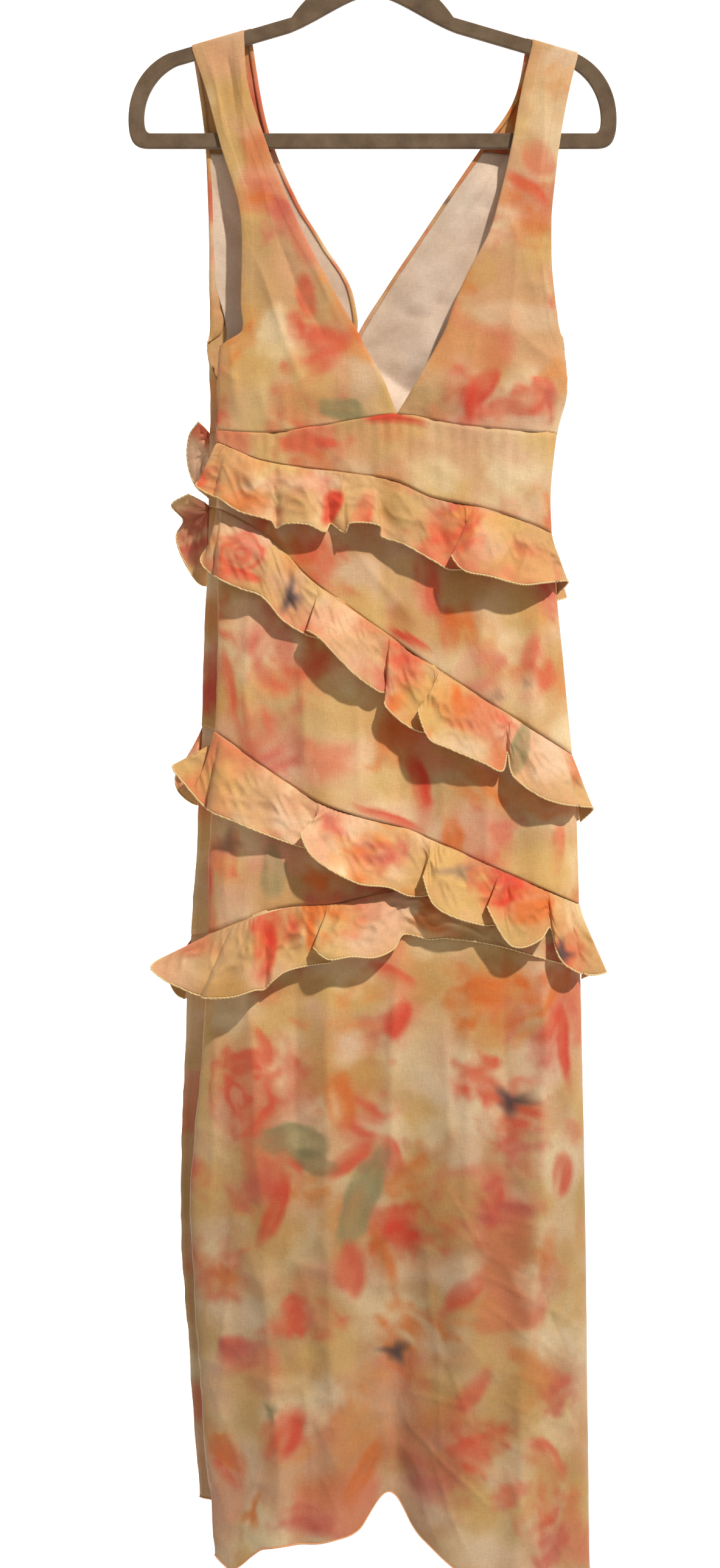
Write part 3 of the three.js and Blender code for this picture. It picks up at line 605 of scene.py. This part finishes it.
def overlock_thread(name):
    """Glossy polyester overlocking thread wound round a rolled edge: fine slanting turns."""
    m = material(name)
    at = [("Vector", (add(m, "TexCoord"), "Object"))]
    # the turns lie about 1.2 mm apart: drawn four times as coarse, so that they show
    banded = dict(Distortion=2.5, Detail=1, bands_direction="DIAGONAL")
    turns = add(m, "TexWave", at, Scale=1 / (5 * MM), **banded)
    gold = ((0.1, "#CDA766"), (0.55, "#E6C98C"), (0.95, "#F1DCAA"))
    colour = add(m, "ValToRGB", [("Fac", (turns, "Fac"))], stops=gold)
    bump = add(m, "Bump", [("Height", (turns, "Fac"))], Strength=0.5, Distance=0.3 * MM)
    links = [("Base Color", (colour, "Color")), ("Normal", (bump, "Normal"))]
    return finish_material(m, add(m, "BsdfPrincipled", links, Roughness=0.5, Sheen_Weight=0.15))


def velvet_flock(name):
    """Short nylon flock on a moulded plastic frame: dull and dark face on, paler where the pile catches light."""
    m = material(name)
    at = [("Vector", (add(m, "TexCoord"), "Object"))]
    pile = add(m, "TexNoise", at, Scale=1 / (0.9 * MM), Detail=4, Roughness=0.7)
    rub = add(m, "TexNoise", at, Scale=1 / (17 * MM), Detail=3)
    both = add(m, "Math", [(0, (pile, "Fac")), (1, (rub, "Fac"))], operation="ADD")
    half = add(m, "Math", [(0, (both, "Value"))], operation="MULTIPLY", i1=0.5)
    taupe = ((0.3, "#5C4C40"), (0.5, "#75634F"), (0.72, "#8B7865"))
    colour = add(m, "ValToRGB", [("Fac", (half, "Value"))], stops=taupe)
    bump = add(m, "Bump", [("Height", (pile, "Fac"))], Strength=0.5, Distance=0.4 * MM)
    links = [("Base Color", (colour, "Color")), ("Normal", (bump, "Normal"))]
    sheen = dict(Sheen_Weight=0.5, Sheen_Roughness=0.4)
    return finish_material(m, add(m, "BsdfPrincipled", links, Roughness=0.95, Specular_IOR_Level=0.15, **sheen))


def plated_wire(name):
    """Chrome-plated steel wire: bright, with faint drawing lines and small smudges."""
    m = material(name)
    at = [("Vector", (add(m, "TexCoord"), "Object"))]
    smudge = add(m, "TexNoise", at, Scale=1 / (6 * MM), Detail=4)
    drawn = add(m, "Mapping", at, Scale=(1 / (0.5 * MM), 1 / (0.5 * MM), 1 / (9 * MM)))
    lines = add(m, "TexNoise", [("Vector", (drawn, "Vector"))], Scale=1, Detail=2)
    colour = add(m, "ValToRGB", [("Fac", (smudge, "Fac"))], stops=((0.3, "#B9B7B3"), (0.7, "#D6D5D2")))
    dull = add(m, "MapRange", [("Value", (smudge, "Fac"))], From_Min=0.3, From_Max=0.7, To_Min=0.12, To_Max=0.3)
    bump = add(m, "Bump", [("Height", (lines, "Fac"))], Strength=0.12, Distance=0.1 * MM)
    links = [("Base Color", (colour, "Color")), ("Roughness", (dull, "Result")), ("Normal", (bump, "Normal"))]
    return finish_material(m, add(m, "BsdfPrincipled", links, Metallic=1))


PRINTED = georgette("printed_georgette")
FLOUNCE_PRINT = georgette("printed_georgette_single", thread=1.0, crinkle=0.25)
LINING = georgette("blush_lining_satin", dye=("#E0C6AE", "#EDDAC8"), thread=1.1, roughness=0.52, crinkle=0.15)
THREAD = overlock_thread("overlock_thread_gold")
STITCH = georgette("sewing_thread_blush", dye=("#B79A84", "#CBB09A"), thread=0.8, roughness=0.6, crinkle=0.4)
FLOCK = velvet_flock("velvet_flock_taupe")
WIRE = plated_wire("plated_steel_wire")


# ---------- meshes ----------
def placed(name, data):
    thing = bpy.data.objects.new(name, data)
    bpy.context.scene.collection.objects.link(thing)
    return thing


def finished(name, points, faces, dye=None, materials=()):
    """A smooth piece of the given points in millimetres, with its dye and materials."""
    mesh = bpy.data.meshes.new(name)
    mesh.from_pydata((np.asarray(points) * MM).tolist(), [], faces if isinstance(faces, list) else faces.tolist())
    mesh.update()
    mesh.shade_smooth()
    if dye is not None:
        colour = mesh.color_attributes.new("dye", "FLOAT_COLOR", "POINT")
        rgba = np.concatenate([to_linear(dye.reshape(-1, 3)), np.ones((len(points), 1))], 1)
        colour.data.foreach_set("color", rgba.ravel().astype(np.float32))
    for made in materials:
        mesh.materials.append(made)
    return placed(name, mesh)


def grid_normals(points, facing):
    """Normals of a grid of points, on the side that facing (a rough direction at each point) names."""
    normal = unit(np.cross(np.gradient(points, axis=0), np.gradient(points, axis=1)))
    flip = np.sign(np.sum(normal * facing, axis=-1, keepdims=True).mean())
    return normal * (flip or 1)


def shell(name, points, normals, thickness, dye, made):
    """A thin closed cloth wall round a grid of middle points."""
    rows, columns = points.shape[:2]
    wall = np.concatenate([points + normals * thickness / 2, points - normals * thickness / 2]).reshape(-1, 3)
    index = np.arange(rows * columns).reshape(rows, columns)
    back = index + rows * columns
    quad = lambda a, b, c, d: np.stack([a, b, c, d], -1).reshape(-1, 4)
    faces = [
        quad(index[:-1, :-1], index[1:, :-1], index[1:, 1:], index[:-1, 1:]),
        quad(back[:-1, :-1], back[:-1, 1:], back[1:, 1:], back[1:, :-1]),
        quad(index[0, :-1], index[0, 1:], back[0, 1:], back[0, :-1]),
        quad(index[-1, 1:], index[-1, :-1], back[-1, :-1], back[-1, 1:]),
        quad(index[1:, 0], index[:-1, 0], back[:-1, 0], back[1:, 0]),
        quad(index[:-1, -1], index[1:, -1], back[1:, -1], back[:-1, -1]),
    ]
    faces = np.concatenate(faces)
    down, over = points[1:, :-1] - points[:-1, :-1], points[:-1, 1:] - points[:-1, :-1]
    if np.sum(np.cross(down, over) * normals[:-1, :-1]) < 0:
        faces = faces[:, ::-1]
    both = None if dye is None else np.concatenate([dye, dye])
    return finished(name, wall, faces, dye=both, materials=[made])


def tube(name, path, radius, made, sides=7):
    """A thread along a path of points."""
    path = np.asarray(path, float)
    tangent = unit(np.gradient(path, axis=0))
    helper = np.where(np.abs(tangent[:, [1]]) > 0.9, [[1.0, 0, 0]], [[0, 1.0, 0]])
    first = unit(np.cross(tangent, helper))
    second = np.cross(tangent, first)
    turn = np.linspace(0, 2 * np.pi, sides, endpoint=False)[None, :, None]
    points = path[:, None] + radius * (np.cos(turn) * first[:, None] + np.sin(turn) * second[:, None])
    n = len(path)
    index = np.arange(n * sides).reshape(n, sides)
    after = np.roll(index, -1, axis=1)
    faces = np.stack([index[:-1], after[:-1], after[1:], index[1:]], -1).reshape(-1, 4).tolist()
    faces += [index[0, ::-1].tolist(), index[-1].tolist()]
    return finished(name, points.reshape(-1, 3), faces, materials=[made])


def flat_size(points):
    """Width, length and area of a grid of cloth when laid flat, in metres."""
    width = np.linalg.norm(np.diff(points, axis=1), axis=-1).sum(1).max() * MM
    length = np.linalg.norm(np.diff(points, axis=0), axis=-1).sum(0).max() * MM
    down, over = points[1:, :-1] - points[:-1, :-1], points[:-1, 1:] - points[:-1, :-1]
    area = np.linalg.norm(np.cross(down, over), axis=-1).sum() * MM * MM
    return (round(float(width), 3), round(float(length), 3)), round(float(area), 4)


def sewn(piece, points, node):
    """The piece stands for its solid, which is hidden; the piece is attached to the root, and its flat cut size and
    area are worked out but not used.
    """
    flat, area = flat_size(points)
    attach(piece, "root")
    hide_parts(node)
    least, most = (share * flat[0] * flat[1] for share in (0.31, 0.98))
    area = max(min(area, most), least)
    return piece


# ---------- body panels ----------
def body_panel(node, side, index, seed):
    """A body panel between two cross seams, with its folds, puckers and print."""
    short = node.replace("_panel", "")
    mean = [np.mean(SEAMS[index]["z"]), np.mean(SEAMS[index + 1]["z"]) if index < 4 else HEM]
    step = STEP * (0.84 if node == "skirt_panel_front" else 1)
    columns = int(BODY_WIDTH / step)
    inner = np.linspace(-1, 1, columns - 11)
    strip = 0.3  # the strip at each side seam that turns to the other face, in radians
    limit = np.pi / 2 - strip
    turning, even = inner * limit, np.arcsin(inner * math.sin(limit))
    ends = np.linspace(0, strip, 7)[:-1]
    angle = np.concatenate([-np.pi / 2 + ends, lerp(turning, even, 0.7), (np.pi / 2 - ends)[::-1]])
    top = height_at(index, side, angle) - GAP / 2
    bottom = height_at(index + 1, side, angle)
    bottom = bottom + (GAP / 2 if index < 4 else 1.6 * cloud(angle * 170, 0 * angle, 17, seed + 13))
    rows = max(8, int(abs(mean[1] - mean[0]) / step * 0.9))
    share = np.linspace(0, 1, rows)[:, None]
    z = lerp(top[None], bottom[None], share)
    angles = np.broadcast_to(angle, z.shape)
    x, y = section(side, angles, z)
    points = np.stack([x, y, z], -1)
    normal = outward(side, angles, z)
    below, above = top[None] - z, z - bottom[None]
    calm = ease(0.0, 0.25, np.pi / 2 - np.abs(angles))
    move = soft_waves(x, z, 40, seed) * ease(0, 30, below)
    near_hem = ease(-1000, -1350, z)
    move = move + creases(short, x, z) + lerp(1.5, 2.6, near_hem) * crumple(x, z, 38, seed + 20)
    move = move + 0.5 * gathers(x, below, 9, seed + 5)
    if index:
        move = move * lerp(0.12, 1, ease(2, 30, below))
    else:
        move = move + 1.3 * gathers(x, below, 24, seed + 7) * (0.5 + 0.5 * bell(x, 70))
    if index < 4:
        move = move + 0.4 * gathers(x, above, 8, seed + 6) - 0.3 * bell(above, 1.4)
    else:
        move = move + 1.5 * cloud(x, 0 * x, 16, seed + 11) * np.exp(-above / 22)
    move = move - 0.3 * bell(below, 1.4)
    points = points + normal * (move * calm)[..., None]
    # the seam allowance stands up behind the piece above
    tuck_in = (0.35 + 0.65 * calm[:1])[..., None]
    allowance = [points[:1] - normal[:1] * tuck_in * inward + [0, 0, rise] for rise, inward in ((2.6, 1.5), (0.9, 1.3))]
    points = np.concatenate([*allowance, points])
    normal = np.concatenate([normal[:1], normal[:1], normal])
    dye = print_on(short, side, points, (-175, 195), (bottom.min(), top.max()), seed)
    normals = grid_normals(points, normal)
    piece = shell(short + "_cloth", points, normals, CLOTH, dye, PRINTED)
    sewn(piece, points, node)
    if index == 4:
        edge = points[-1] + normals[-1] * 0.3
        fold = tube("hem_fold_" + side, edge + [0, 0, 0.9], 0.7, PRINTED_EDGE)
        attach(fold, "root")
    return piece


PRINTED_EDGE = georgette("printed_georgette_hem", dye=("#DB8A63", "#D6B07A"), thread=0.9, crinkle=0.3)


# ---------- bodice ----------
def shoulder_top(x):
    return SHOULDER_PEAK - SHOULDER_SLOPE * np.abs(x)


def bodice_points(key, extra=0.0, seed=0):
    """Middle points of a bodice panel and strap as a grid: over the hanger's top, then down to the seam under the bust.

    extra moves them inwards, away from the outer cloth. Columns run from the armhole to the neckline.
    """
    side = key.split("_")[0]
    sign = OUT[side]
    edges = dict(BODICE[key])
    # the lining stops short of the cloth turned in at the armhole, which is wide under the left arm
    set_in = 2.2 + (13 * ease(-330, -405, edges["z"]) if key == "back_left" else 0)
    edges["outer"] = edges["outer"] + (set_in if extra else 0) * np.sign(edges["inner"] - edges["outer"])
    columns = int(BODICE_WIDTH / STEP)
    b = np.linspace(0, 1, columns) ** 1.25
    heights = np.linspace(BEND, EMPIRE, int(BODICE_HEIGHT / STEP))
    z = np.broadcast_to(heights[:, None], (len(heights), columns))
    x = lerp(curve(edges["z"], edges["outer"], z), curve(edges["z"], edges["inner"], z), b[None])
    share = np.clip((z - STRAP_TOP) / (EMPIRE - STRAP_TOP), 0, 1)
    strap_line = (shoulder_top(x) - STRAP_TOP) * (1 - share) ** 6
    seam_line = (seam_height(0, side, x) + 0.5 * GAP - EMPIRE) * share**6
    angle = angle_at(side, x, z)
    sx, sy = section(side, angle, z)
    clear = HANGER_DEPTH / 2 + GAP + CLOTH / 2 + 0.3
    sy = lerp(sign * clear, sy, ease(-139, -170, z))
    points = np.stack([sx, sy, z + strap_line + seam_line], -1)
    flat = outward(side, angle, z)
    normal = grid_normals(points, flat)
    above = (z - EMPIRE) + 0 * x
    width = np.abs(curve(edges["z"], edges["outer"], z) - curve(edges["z"], edges["inner"], z))
    from_neck = (1 - b[None]) * width
    from_arm = b[None] * width
    depth_in = extra * lerp(0.36, 1.0, ease(-150, -260, z))
    move = -depth_in
    calm = lerp(0.25, 1, ease(BEND, -168, z)) * ease(0.02, 0.2, np.pi / 2 - np.abs(angle))
    uneven = 0.7 * soft_waves(x, z, 34, seed) + 1.4 * crumple(x, z, 32, seed + 20) + creases("bodice_" + key, x, z)
    move = move + uneven * calm
    centre = bell(x - 10, 60) + 0.8 * bell(x - 105, 26) + 0.5 * bell(x + 90, 30)
    move = move + 1.0 * gathers(x, above, 17, seed + 3) * (0.2 + 0.8 * np.clip(centre, 0, 1)) * calm
    move = np.maximum(move, lerp(-0.3, -9, ease(BEND, -200, z)) - depth_in)
    if not extra:
        from_edge = np.minimum(from_neck, from_arm)
        facing_edge = 0.35 * ease(10.5, 8.5, from_edge) * ease(0, 3, from_edge)
        move = move + facing_edge - 0.4 * bell(above, 1.6)
    points = points + normal * np.broadcast_to(move, z.shape)[..., None]
    top_x = points[0, :, 0]
    over = GAP + CLOTH / 2 + 0.2
    inward = 0.36 * extra
    bend = []
    for t in np.linspace(0, np.pi / 2, 8)[:-1]:
        bend_y = sign * max(GAP / 2, (clear - inward) * math.sin(t) ** 0.6)
        bend_z = shoulder_top(top_x) - 1.5 + (over + 1.5 - inward) * math.cos(t) ** 0.5
        bend.append(np.stack([top_x, np.full_like(top_x, bend_y), bend_z], -1))
    return np.concatenate([np.array(bend), points]), len(bend)


def bodice_panel(key, seed):
    side = key.split("_")[0]
    points, bent = bodice_points(key, seed=seed)
    facing = np.zeros_like(points) + [0, OUT[side], 0.3]
    normals = grid_normals(points, facing)
    # the printed cloth is turned to the inside at the neckline, about 3 mm deep
    heights = np.concatenate([np.full(bent, float(BEND)), np.linspace(BEND, EMPIRE, len(points) - bent)])
    deep = lerp(0.5, 1.0, ease(-150, -260, heights))[:, None, None]
    open_arm = lerp(0.1, 1, ease(-407, -393, heights))[:, None, None]
    roll = [(-0.5, -0.6), (-0.45, -1.5), (0.25, -2.2), (0.6, -2.4), (1.0, -2.4)]

    def turned_edge(last, before, width, fade=1):
        edge, n = points[:, [last]], normals[:, [last]]
        into = unit(points[:, [before]] - edge)
        return [edge + into * (a if a < 0 else a * width) * fade + n * c * deep * fade for a, c in roll]

    # under the left arm the back's edge comes round to the front
    width = lerp(3.0, 15, ease(-315, -405, heights))[:, None, None] if key == "back_left" else 3.2
    grid = np.concatenate([*turned_edge(0, 3, width, open_arm)[::-1], points, *turned_edge(-1, -3, 3.4)], axis=1)
    name = "bodice_" + key
    dye = print_on(name, side, grid, (-165, 185), (EMPIRE, -130), seed)
    piece = shell(name + "_cloth", grid, grid_normals_turned(grid, normals, len(roll)), CLOTH * 0.8, dye, PRINTED)
    return sewn(piece, grid, name)


def grid_normals_turned(grid, normals, extra):
    """Normals of a panel whose last few columns are turned to the inside."""
    turned = unit(np.cross(np.gradient(grid, axis=0), np.gradient(grid, axis=1)))
    if np.sum(turned[:, extra + 2 : -extra - 3] * normals[:, 2:-3]) < 0:
        turned = -turned
    return turned


def lining_panel(key, seed):
    side = key.split("_")[0]
    points, bent = bodice_points(key, extra=LINING_INSET, seed=seed)
    points = points[bent:]
    starts = -232 if side == "back" else -311
    points = points[(points[:, 0, 2] < starts) & (points[:, 0, 2] > EMPIRE + 3.5)]
    if side == "back":
        # it hangs loose inside the back and falls forward towards the low point of the neckline
        x, z = points[..., 0], points[..., 2]
        edge_on = ease(0, 24, np.linalg.norm(points - points[:, -1:], axis=-1)) * ease(starts, starts - 40, z)
        fall = -402 - 0.68 * np.maximum(0, x + 17)
        low = 15 * ease(2, 42, fall - z) * np.exp(-(((x - 16) / 42) ** 4)) * ease(-487, -474, z)
        loose = 7 * edge_on * ease(-470, -420, z) * ease(-40, 60, x) * ease(160, 130, x)
        near = ease(0, 0.25, np.pi / 2 - np.abs(angle_at(side, x, z)))
        points[..., 1] -= np.maximum(low, loose) * near
    facing = np.zeros_like(points) + [0, OUT[side], 0]
    normals = grid_normals(points, facing)
    piece = shell("lining_" + key + "_cloth", points, normals, LINING_CLOTH, None, LINING)
    sewn(piece, points, "lining_" + key)
    return points, normals


def understitching(key, points, normals):
    """A row of short stitches along the lining's neckline, 4.5 mm in from the edge."""
    line = points[:, -1] + unit(points[:, -2] - points[:, -1]) * 4.6 - normals[:, -1] * 0.35
    run = run_along(line)
    line, run = line[run < run[-1] * 0.99], run[run < run[-1] * 0.99]
    verts, faces = [], []
    length, pitch = 1.3, 2.1
    for start in np.arange(4, run[-1] - 4, pitch):
        a, c = (np.array([np.interp(s, run, line[:, k]) for k in range(3)]) for s in (start, start + length))
        side_way = np.cross(c - a, [0, 1, 0])
        side_way *= 0.22 / max(1e-9, np.linalg.norm(side_way))
        lift = np.array([0, -0.2 if "back" in key else 0.2, 0])
        base = len(verts)
        for p in (a, (a + c) / 2, c):
            swell = 1.0 if p is not a and p is not c else 0.5
            verts += [p - side_way * swell, p + lift * swell, p + side_way * swell]
        for r in (0, 3):
            faces += [tuple(base + r + k for k in face) for face in ((0, 1, 4, 3), (1, 2, 5, 4), (2, 0, 3, 5))]
        faces += [(base, base + 2, base + 1), (base + 6, base + 7, base + 8)]
    piece = finished("understitching_" + key, verts, faces, materials=[STITCH])
    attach(piece, "root")


# ---------- flounces ----------
# The left ends of the back flounces, which show past the front: across, height and how far out.
BACK_ENDS = {
    1: ((-159, -478, 3), (-168, -490, 12), (-170, -512, 19), (-163, -534, 22), (-150, -546, 20)),
    2: ((-168, -544, 3), (-184, -553, 12), (-174, -566, 22), (-180, -582, 14), (-172, -606, 16), (-156, -626, 20)),
    3: ((-166, -788, 3), (-180, -800, 12), (-178, -816, 20), (-160, -828, 22)),
    4: ((-172, -960, 3), (-186, -985, 12), (-180, -1002, 20), (-164, -1008, 22)),
}


def back_flounce_stations(index, seed):
    """A back flounce's edge, with its own run of flutes and two or three folds that lie back on themselves."""
    rng = np.random.default_rng(seed)
    seam = SEAMS[index]
    left, right = seam["x"][0] - 10, seam["x"][-1]
    rows = [(left + shift, x, z, out) for shift, (x, z, out) in enumerate(BACK_ENDS[index])]
    x, crest, count = left + 16, True, 0
    while x < right - 16:
        z = curve(seam["x"], seam["z"], x)
        out = rng.uniform(16, 25) if crest else rng.uniform(9, 14)
        rows.append((x, x + rng.uniform(-4, 4), z - rng.uniform(52, 60), out))
        if crest and count % 4 == 2:
            rows.append((x + 10, x + 24, z - 56, 7))
            rows.append((x + 20, x + 2, z - 50, 22))
            x += 16
        x += rng.uniform(14, 24)
        crest, count = not crest, count + 1
    end = seam["z"][-1]
    rows += [(right - 6, right + 8, end - 52, 18), (right, right + 16, end - 56, 12)]
    rows.append((right + 3, right + 6, end - 60, 3))
    return columns("top x z out", rows)


def flounce(index, side, seed):
    """A single layer of cloth sewn into a slanting seam, standing off in flutes, with an overlocked rolled edge."""
    stations = FLOUNCES[index - 1] if side == "front" else back_flounce_stations(index, seed)
    sign = OUT[side]
    edge = np.stack([stations["x"], stations["z"], stations["out"]], -1)
    run = run_along(edge)
    step = STEP * 0.62
    s = np.linspace(0, run[-1], int(run[-1] / step))
    read = {key: curve(run, stations[key], s) for key in stations}
    top_x = np.maximum.accumulate(read["top"])
    top_angle = angle_at(side, top_x, curve(SEAMS[index]["x"], SEAMS[index]["z"], top_x))
    top_z = height_at(index, side, top_angle) - 2 * GAP
    tx, ty = section(side, top_angle, top_z)
    lifted = outward(side, top_angle, top_z) * 0.3
    top = np.stack([tx, ty, top_z], -1) + lifted
    hem_y = section(side, angle_at(side, read["x"], read["z"]), read["z"])[1] + sign * np.maximum(2.5, read["out"])
    hem = np.stack([read["x"], hem_y, read["z"]], -1)
    t = np.linspace(0, 1, int(FLOUNCE_DEPTH / step))[:, None]
    points = lerp(top[None], hem[None], t[..., None])
    points[..., 1] = lerp(top[None, :, 1], hem[None, :, 1], t**0.8)
    # tiny puckers at the seam and a faint frill along the edge
    ripple = 0.45 * np.sin(s[None] / 1.7 + 2 * cloud(s, 0 * s, 20, seed)[None]) * np.exp(-t * 9)
    ripple = ripple + 0.7 * cloud(s, 0 * s, 9, seed + 1)[None] * t**3
    strip = np.broadcast_to(s, points.shape[:2])
    waves = 4 * cloud(strip, 25 * t + 0 * strip, 20, seed + 2) + 4 * crumple(strip, 60 * t + 0 * strip, 21, seed + 3)
    ripple = ripple + waves * np.sin(np.pi * t) ** 0.7
    points[..., 1] += sign * ripple
    # keep clear of the panel below
    body_y = section(side, angle_at(side, points[..., 0], points[..., 2]), points[..., 2])[1]
    clear = sign * np.maximum(sign * points[..., 1], sign * body_y + 0.45 + 1.6 * ease(0, 0.2, t) + 0.8 * t)
    left = body(LEFT_EDGE[side], points[..., 2])
    points[..., 1] = np.where(points[..., 0] > left - 1, clear, points[..., 1])
    facing = np.zeros_like(points) + [0, sign, 0]
    normals = grid_normals(points, facing)
    name = "flounce_%d_%s" % (index, side)
    z = points[..., 2]
    dye = print_on(name, side, points, (-170, 200), (z.min(), z.max()), seed)
    piece = shell(name + "_cloth", points, normals, FLOUNCE_CLOTH, dye, FLOUNCE_PRINT)
    rolled = tube(name + "_rolled_edge", points[-1] + [0, 0, -0.3], 0.85, THREAD)
    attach(rolled, "root")
    sewn(piece, points, name)


# ---------- the hanger ----------
def hanger_outline(inside):
    """Outer or inner outline of the frame, mirrored about the middle."""

    def bezier(p0, p1, p2, p3, n=18):
        t = np.linspace(0, 1, n)[:, None]
        p0, p1, p2, p3 = map(np.array, (p0, p1, p2, p3))
        return (1 - t) ** 3 * p0 + 3 * (1 - t) ** 2 * t * p1 + 3 * (1 - t) * t**2 * p2 + t**3 * p3

    drop, neck, reach, floor, corner = (13.6, -90.7, 208, -216, 6) if inside else (0, -74, 222.5, -230, 20)
    sx, ex = (76, 178) if inside else (74, 186)
    sz, ez = shoulder_top(sx) - drop, shoulder_top(ex) - drop
    rise = ((20, neck), (48, sz + 10.6)) if inside else ((38, neck), (56, sz + 26.4))
    half = np.concatenate(
        [
            bezier((0, neck), *rise, (sx, sz)),
            bezier((ex, ez), (ex + 20, ez - 9), (reach, ez - 30), (reach, -203)),
            bezier((reach, -203), (reach, floor + 4), (reach - corner * 0.33, floor), (reach - corner, floor))[1:],
        ]
    )
    return np.concatenate([half, (half * [-1, 1])[1:][::-1]])


def hanger():
    """The moulded frame with rounded edges, and the bent wire hook with its ferrule."""
    flat = bpy.data.curves.new("hanger_frame_outline", "CURVE")
    flat.dimensions = "2D"
    flat.fill_mode = "BOTH"
    round_edge = 1.3
    flat.extrude = (HANGER_DEPTH / 2 - round_edge) * MM
    flat.bevel_depth = round_edge * MM
    flat.bevel_resolution = 3
    flat.offset = -round_edge * MM
    for inside in (False, True):
        outline = hanger_outline(inside)[:: -1 if inside else 1]
        spline = flat.splines.new("POLY")
        spline.points.add(len(outline) - 1)
        for point, (x, z) in zip(spline.points, outline):
            point.co = (x * MM, z * MM, 0, 1)
        spline.use_cyclic_u = True
    shape = placed("hanger_frame_shape", flat)
    shape.rotation_euler.x = math.pi / 2
    bpy.context.view_layer.update()
    mesh = bpy.data.meshes.new_from_object(shape.evaluated_get(bpy.context.evaluated_depsgraph_get()))
    mesh.transform(shape.matrix_world)
    bpy.data.objects.remove(shape)
    mesh.materials.clear()
    mesh.materials.append(FLOCK)
    mesh.shade_smooth()
    mesh.set_sharp_from_angle(angle=math.radians(35))
    piece = placed("hanger_frame_flocked", mesh)
    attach(piece, "root")
    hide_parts("hanger_frame")

    radius, wire = 18.8, 1.8
    turn = np.radians(np.linspace(-55, 205, 60))
    ring = np.stack([radius * np.cos(turn), 0 * turn, -17 + radius * np.sin(turn)], -1)
    stem = np.array([(0, 0, -73.7), (0, 0, -68), (0, 0, -62), (0.6, 0, -52), (2.4, 0, -42), (6.2, 0, -36.2)])
    hook = tube("hanger_hook_wire", np.concatenate([stem, ring]), wire, WIRE, sides=14)
    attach(hook, "root")
    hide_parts("hanger_hook")
    profile = [(2.1, 0), (4.5, 0), (4.5, 3.6), (4.2, 4.9), (3.2, 5.9), (2.1, 6.0)]
    spin = np.linspace(0, 2 * np.pi, 36, endpoint=False)
    rings = np.array([[(r * math.cos(a), r * math.sin(a), -73.7 + h) for a in spin] for r, h in profile])
    index = np.arange(len(profile) * 36).reshape(len(profile), 36)
    lower, upper = index, np.roll(index, -1, axis=0)
    faces = np.stack([lower, np.roll(lower, -1, 1), np.roll(upper, -1, 1), upper], -1).reshape(-1, 4)
    ferrule = finished("hanger_ferrule_ring", rings.reshape(-1, 3), faces, materials=[WIRE])
    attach(ferrule, "root")
    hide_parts("hanger_ferrule")


# ---------- the whole dress ----------
for number, key in enumerate(BODICE):
    bodice_panel(key, 300 + 17 * number)
for number, key in enumerate(BODICE):
    lining, lining_normals = lining_panel(key, 300 + 17 * number)
    understitching(key, lining, lining_normals)
NAMES = ("waist", "hip", "thigh", "wedge", "skirt")
for side in ("front", "back"):
    for index, name in enumerate(NAMES):
        body_panel("%s_panel_%s" % (name, side), side, index, 500 + 40 * index + (7 if side == "back" else 0))
for side in ("front", "back"):
    for index in (1, 2, 3, 4):
        flounce(index, side, 900 + 13 * index + (5 if side == "back" else 0))
hanger()


# ---------- stage, light and camera ----------
def stage():
    """A pale floor well below the dress that sweeps up into a pale wall far behind it."""
    paper = material("pale_paper")
    fibre = add(paper, "TexNoise", [("Vector", (add(paper, "TexCoord"), "Object"))], Scale=60, Detail=3)
    tint = add(paper, "ValToRGB", [("Fac", (fibre, "Fac"))], stops=((0.3, "#F1F1F3"), (0.7, "#F5F5F7")))
    glow = dict(Emission_Color=(0.93, 0.96, 1.0, 1), Emission_Strength=0.5)
    finish_material(paper, add(paper, "BsdfPrincipled", [("Base Color", (tint, "Color"))], Roughness=0.9, **glow))
    floor_z, wall_y, bend, reach = -2600, 8000, 2500, 7000
    bow = [(bend * math.sin(a), bend * math.cos(a)) for a in np.linspace(0, math.pi / 2, 17)]
    sweep = [(-900, floor_z), *((wall_y - bend + y, floor_z + bend - z) for y, z in bow), (wall_y, 7000)]
    verts = [(s * reach, y, z) for y, z in sweep for s in (-1, 1)]
    faces = [(2 * i, 2 * i + 1, 2 * i + 3, 2 * i + 2) for i in range(len(sweep) - 1)]
    finished("studio_sweep", verts, faces, materials=[paper])


def light():
    world = bpy.data.worlds.new("soft_warm_room")
    world.use_nodes = True
    room = world.node_tree.nodes["Background"].inputs
    room["Color"].default_value = (1.0, 0.9, 0.8, 1)
    room["Strength"].default_value = 0.33
    bpy.context.scene.world = world
    sun = bpy.data.lights.new("low_sun", "SUN")
    sun.energy = 3.1
    sun.angle = math.radians(2.2)
    sun.color = (1.0, 0.94, 0.86)
    lamp = placed("low_sun", sun)
    lamp.rotation_euler = Vector((-0.42, 0.6, -0.76)).to_track_quat("-Z", "Y").to_euler()


def camera():
    lens = bpy.data.cameras.new("camera")
    lens.sensor_width = 36
    lens.sensor_fit = "AUTO"
    lens.lens = 55.4
    lens.clip_end = 50
    eye = placed("camera", lens)
    eye.location = (-0.0114, -2.2, -0.809)
    eye.rotation_euler = (math.pi / 2, 0, 0)
    bpy.context.scene.camera = eye


stage()
light()
camera()
bpy.context.scene.view_settings.view_transform = "Standard"
bpy.context.scene.view_settings.look = "None"
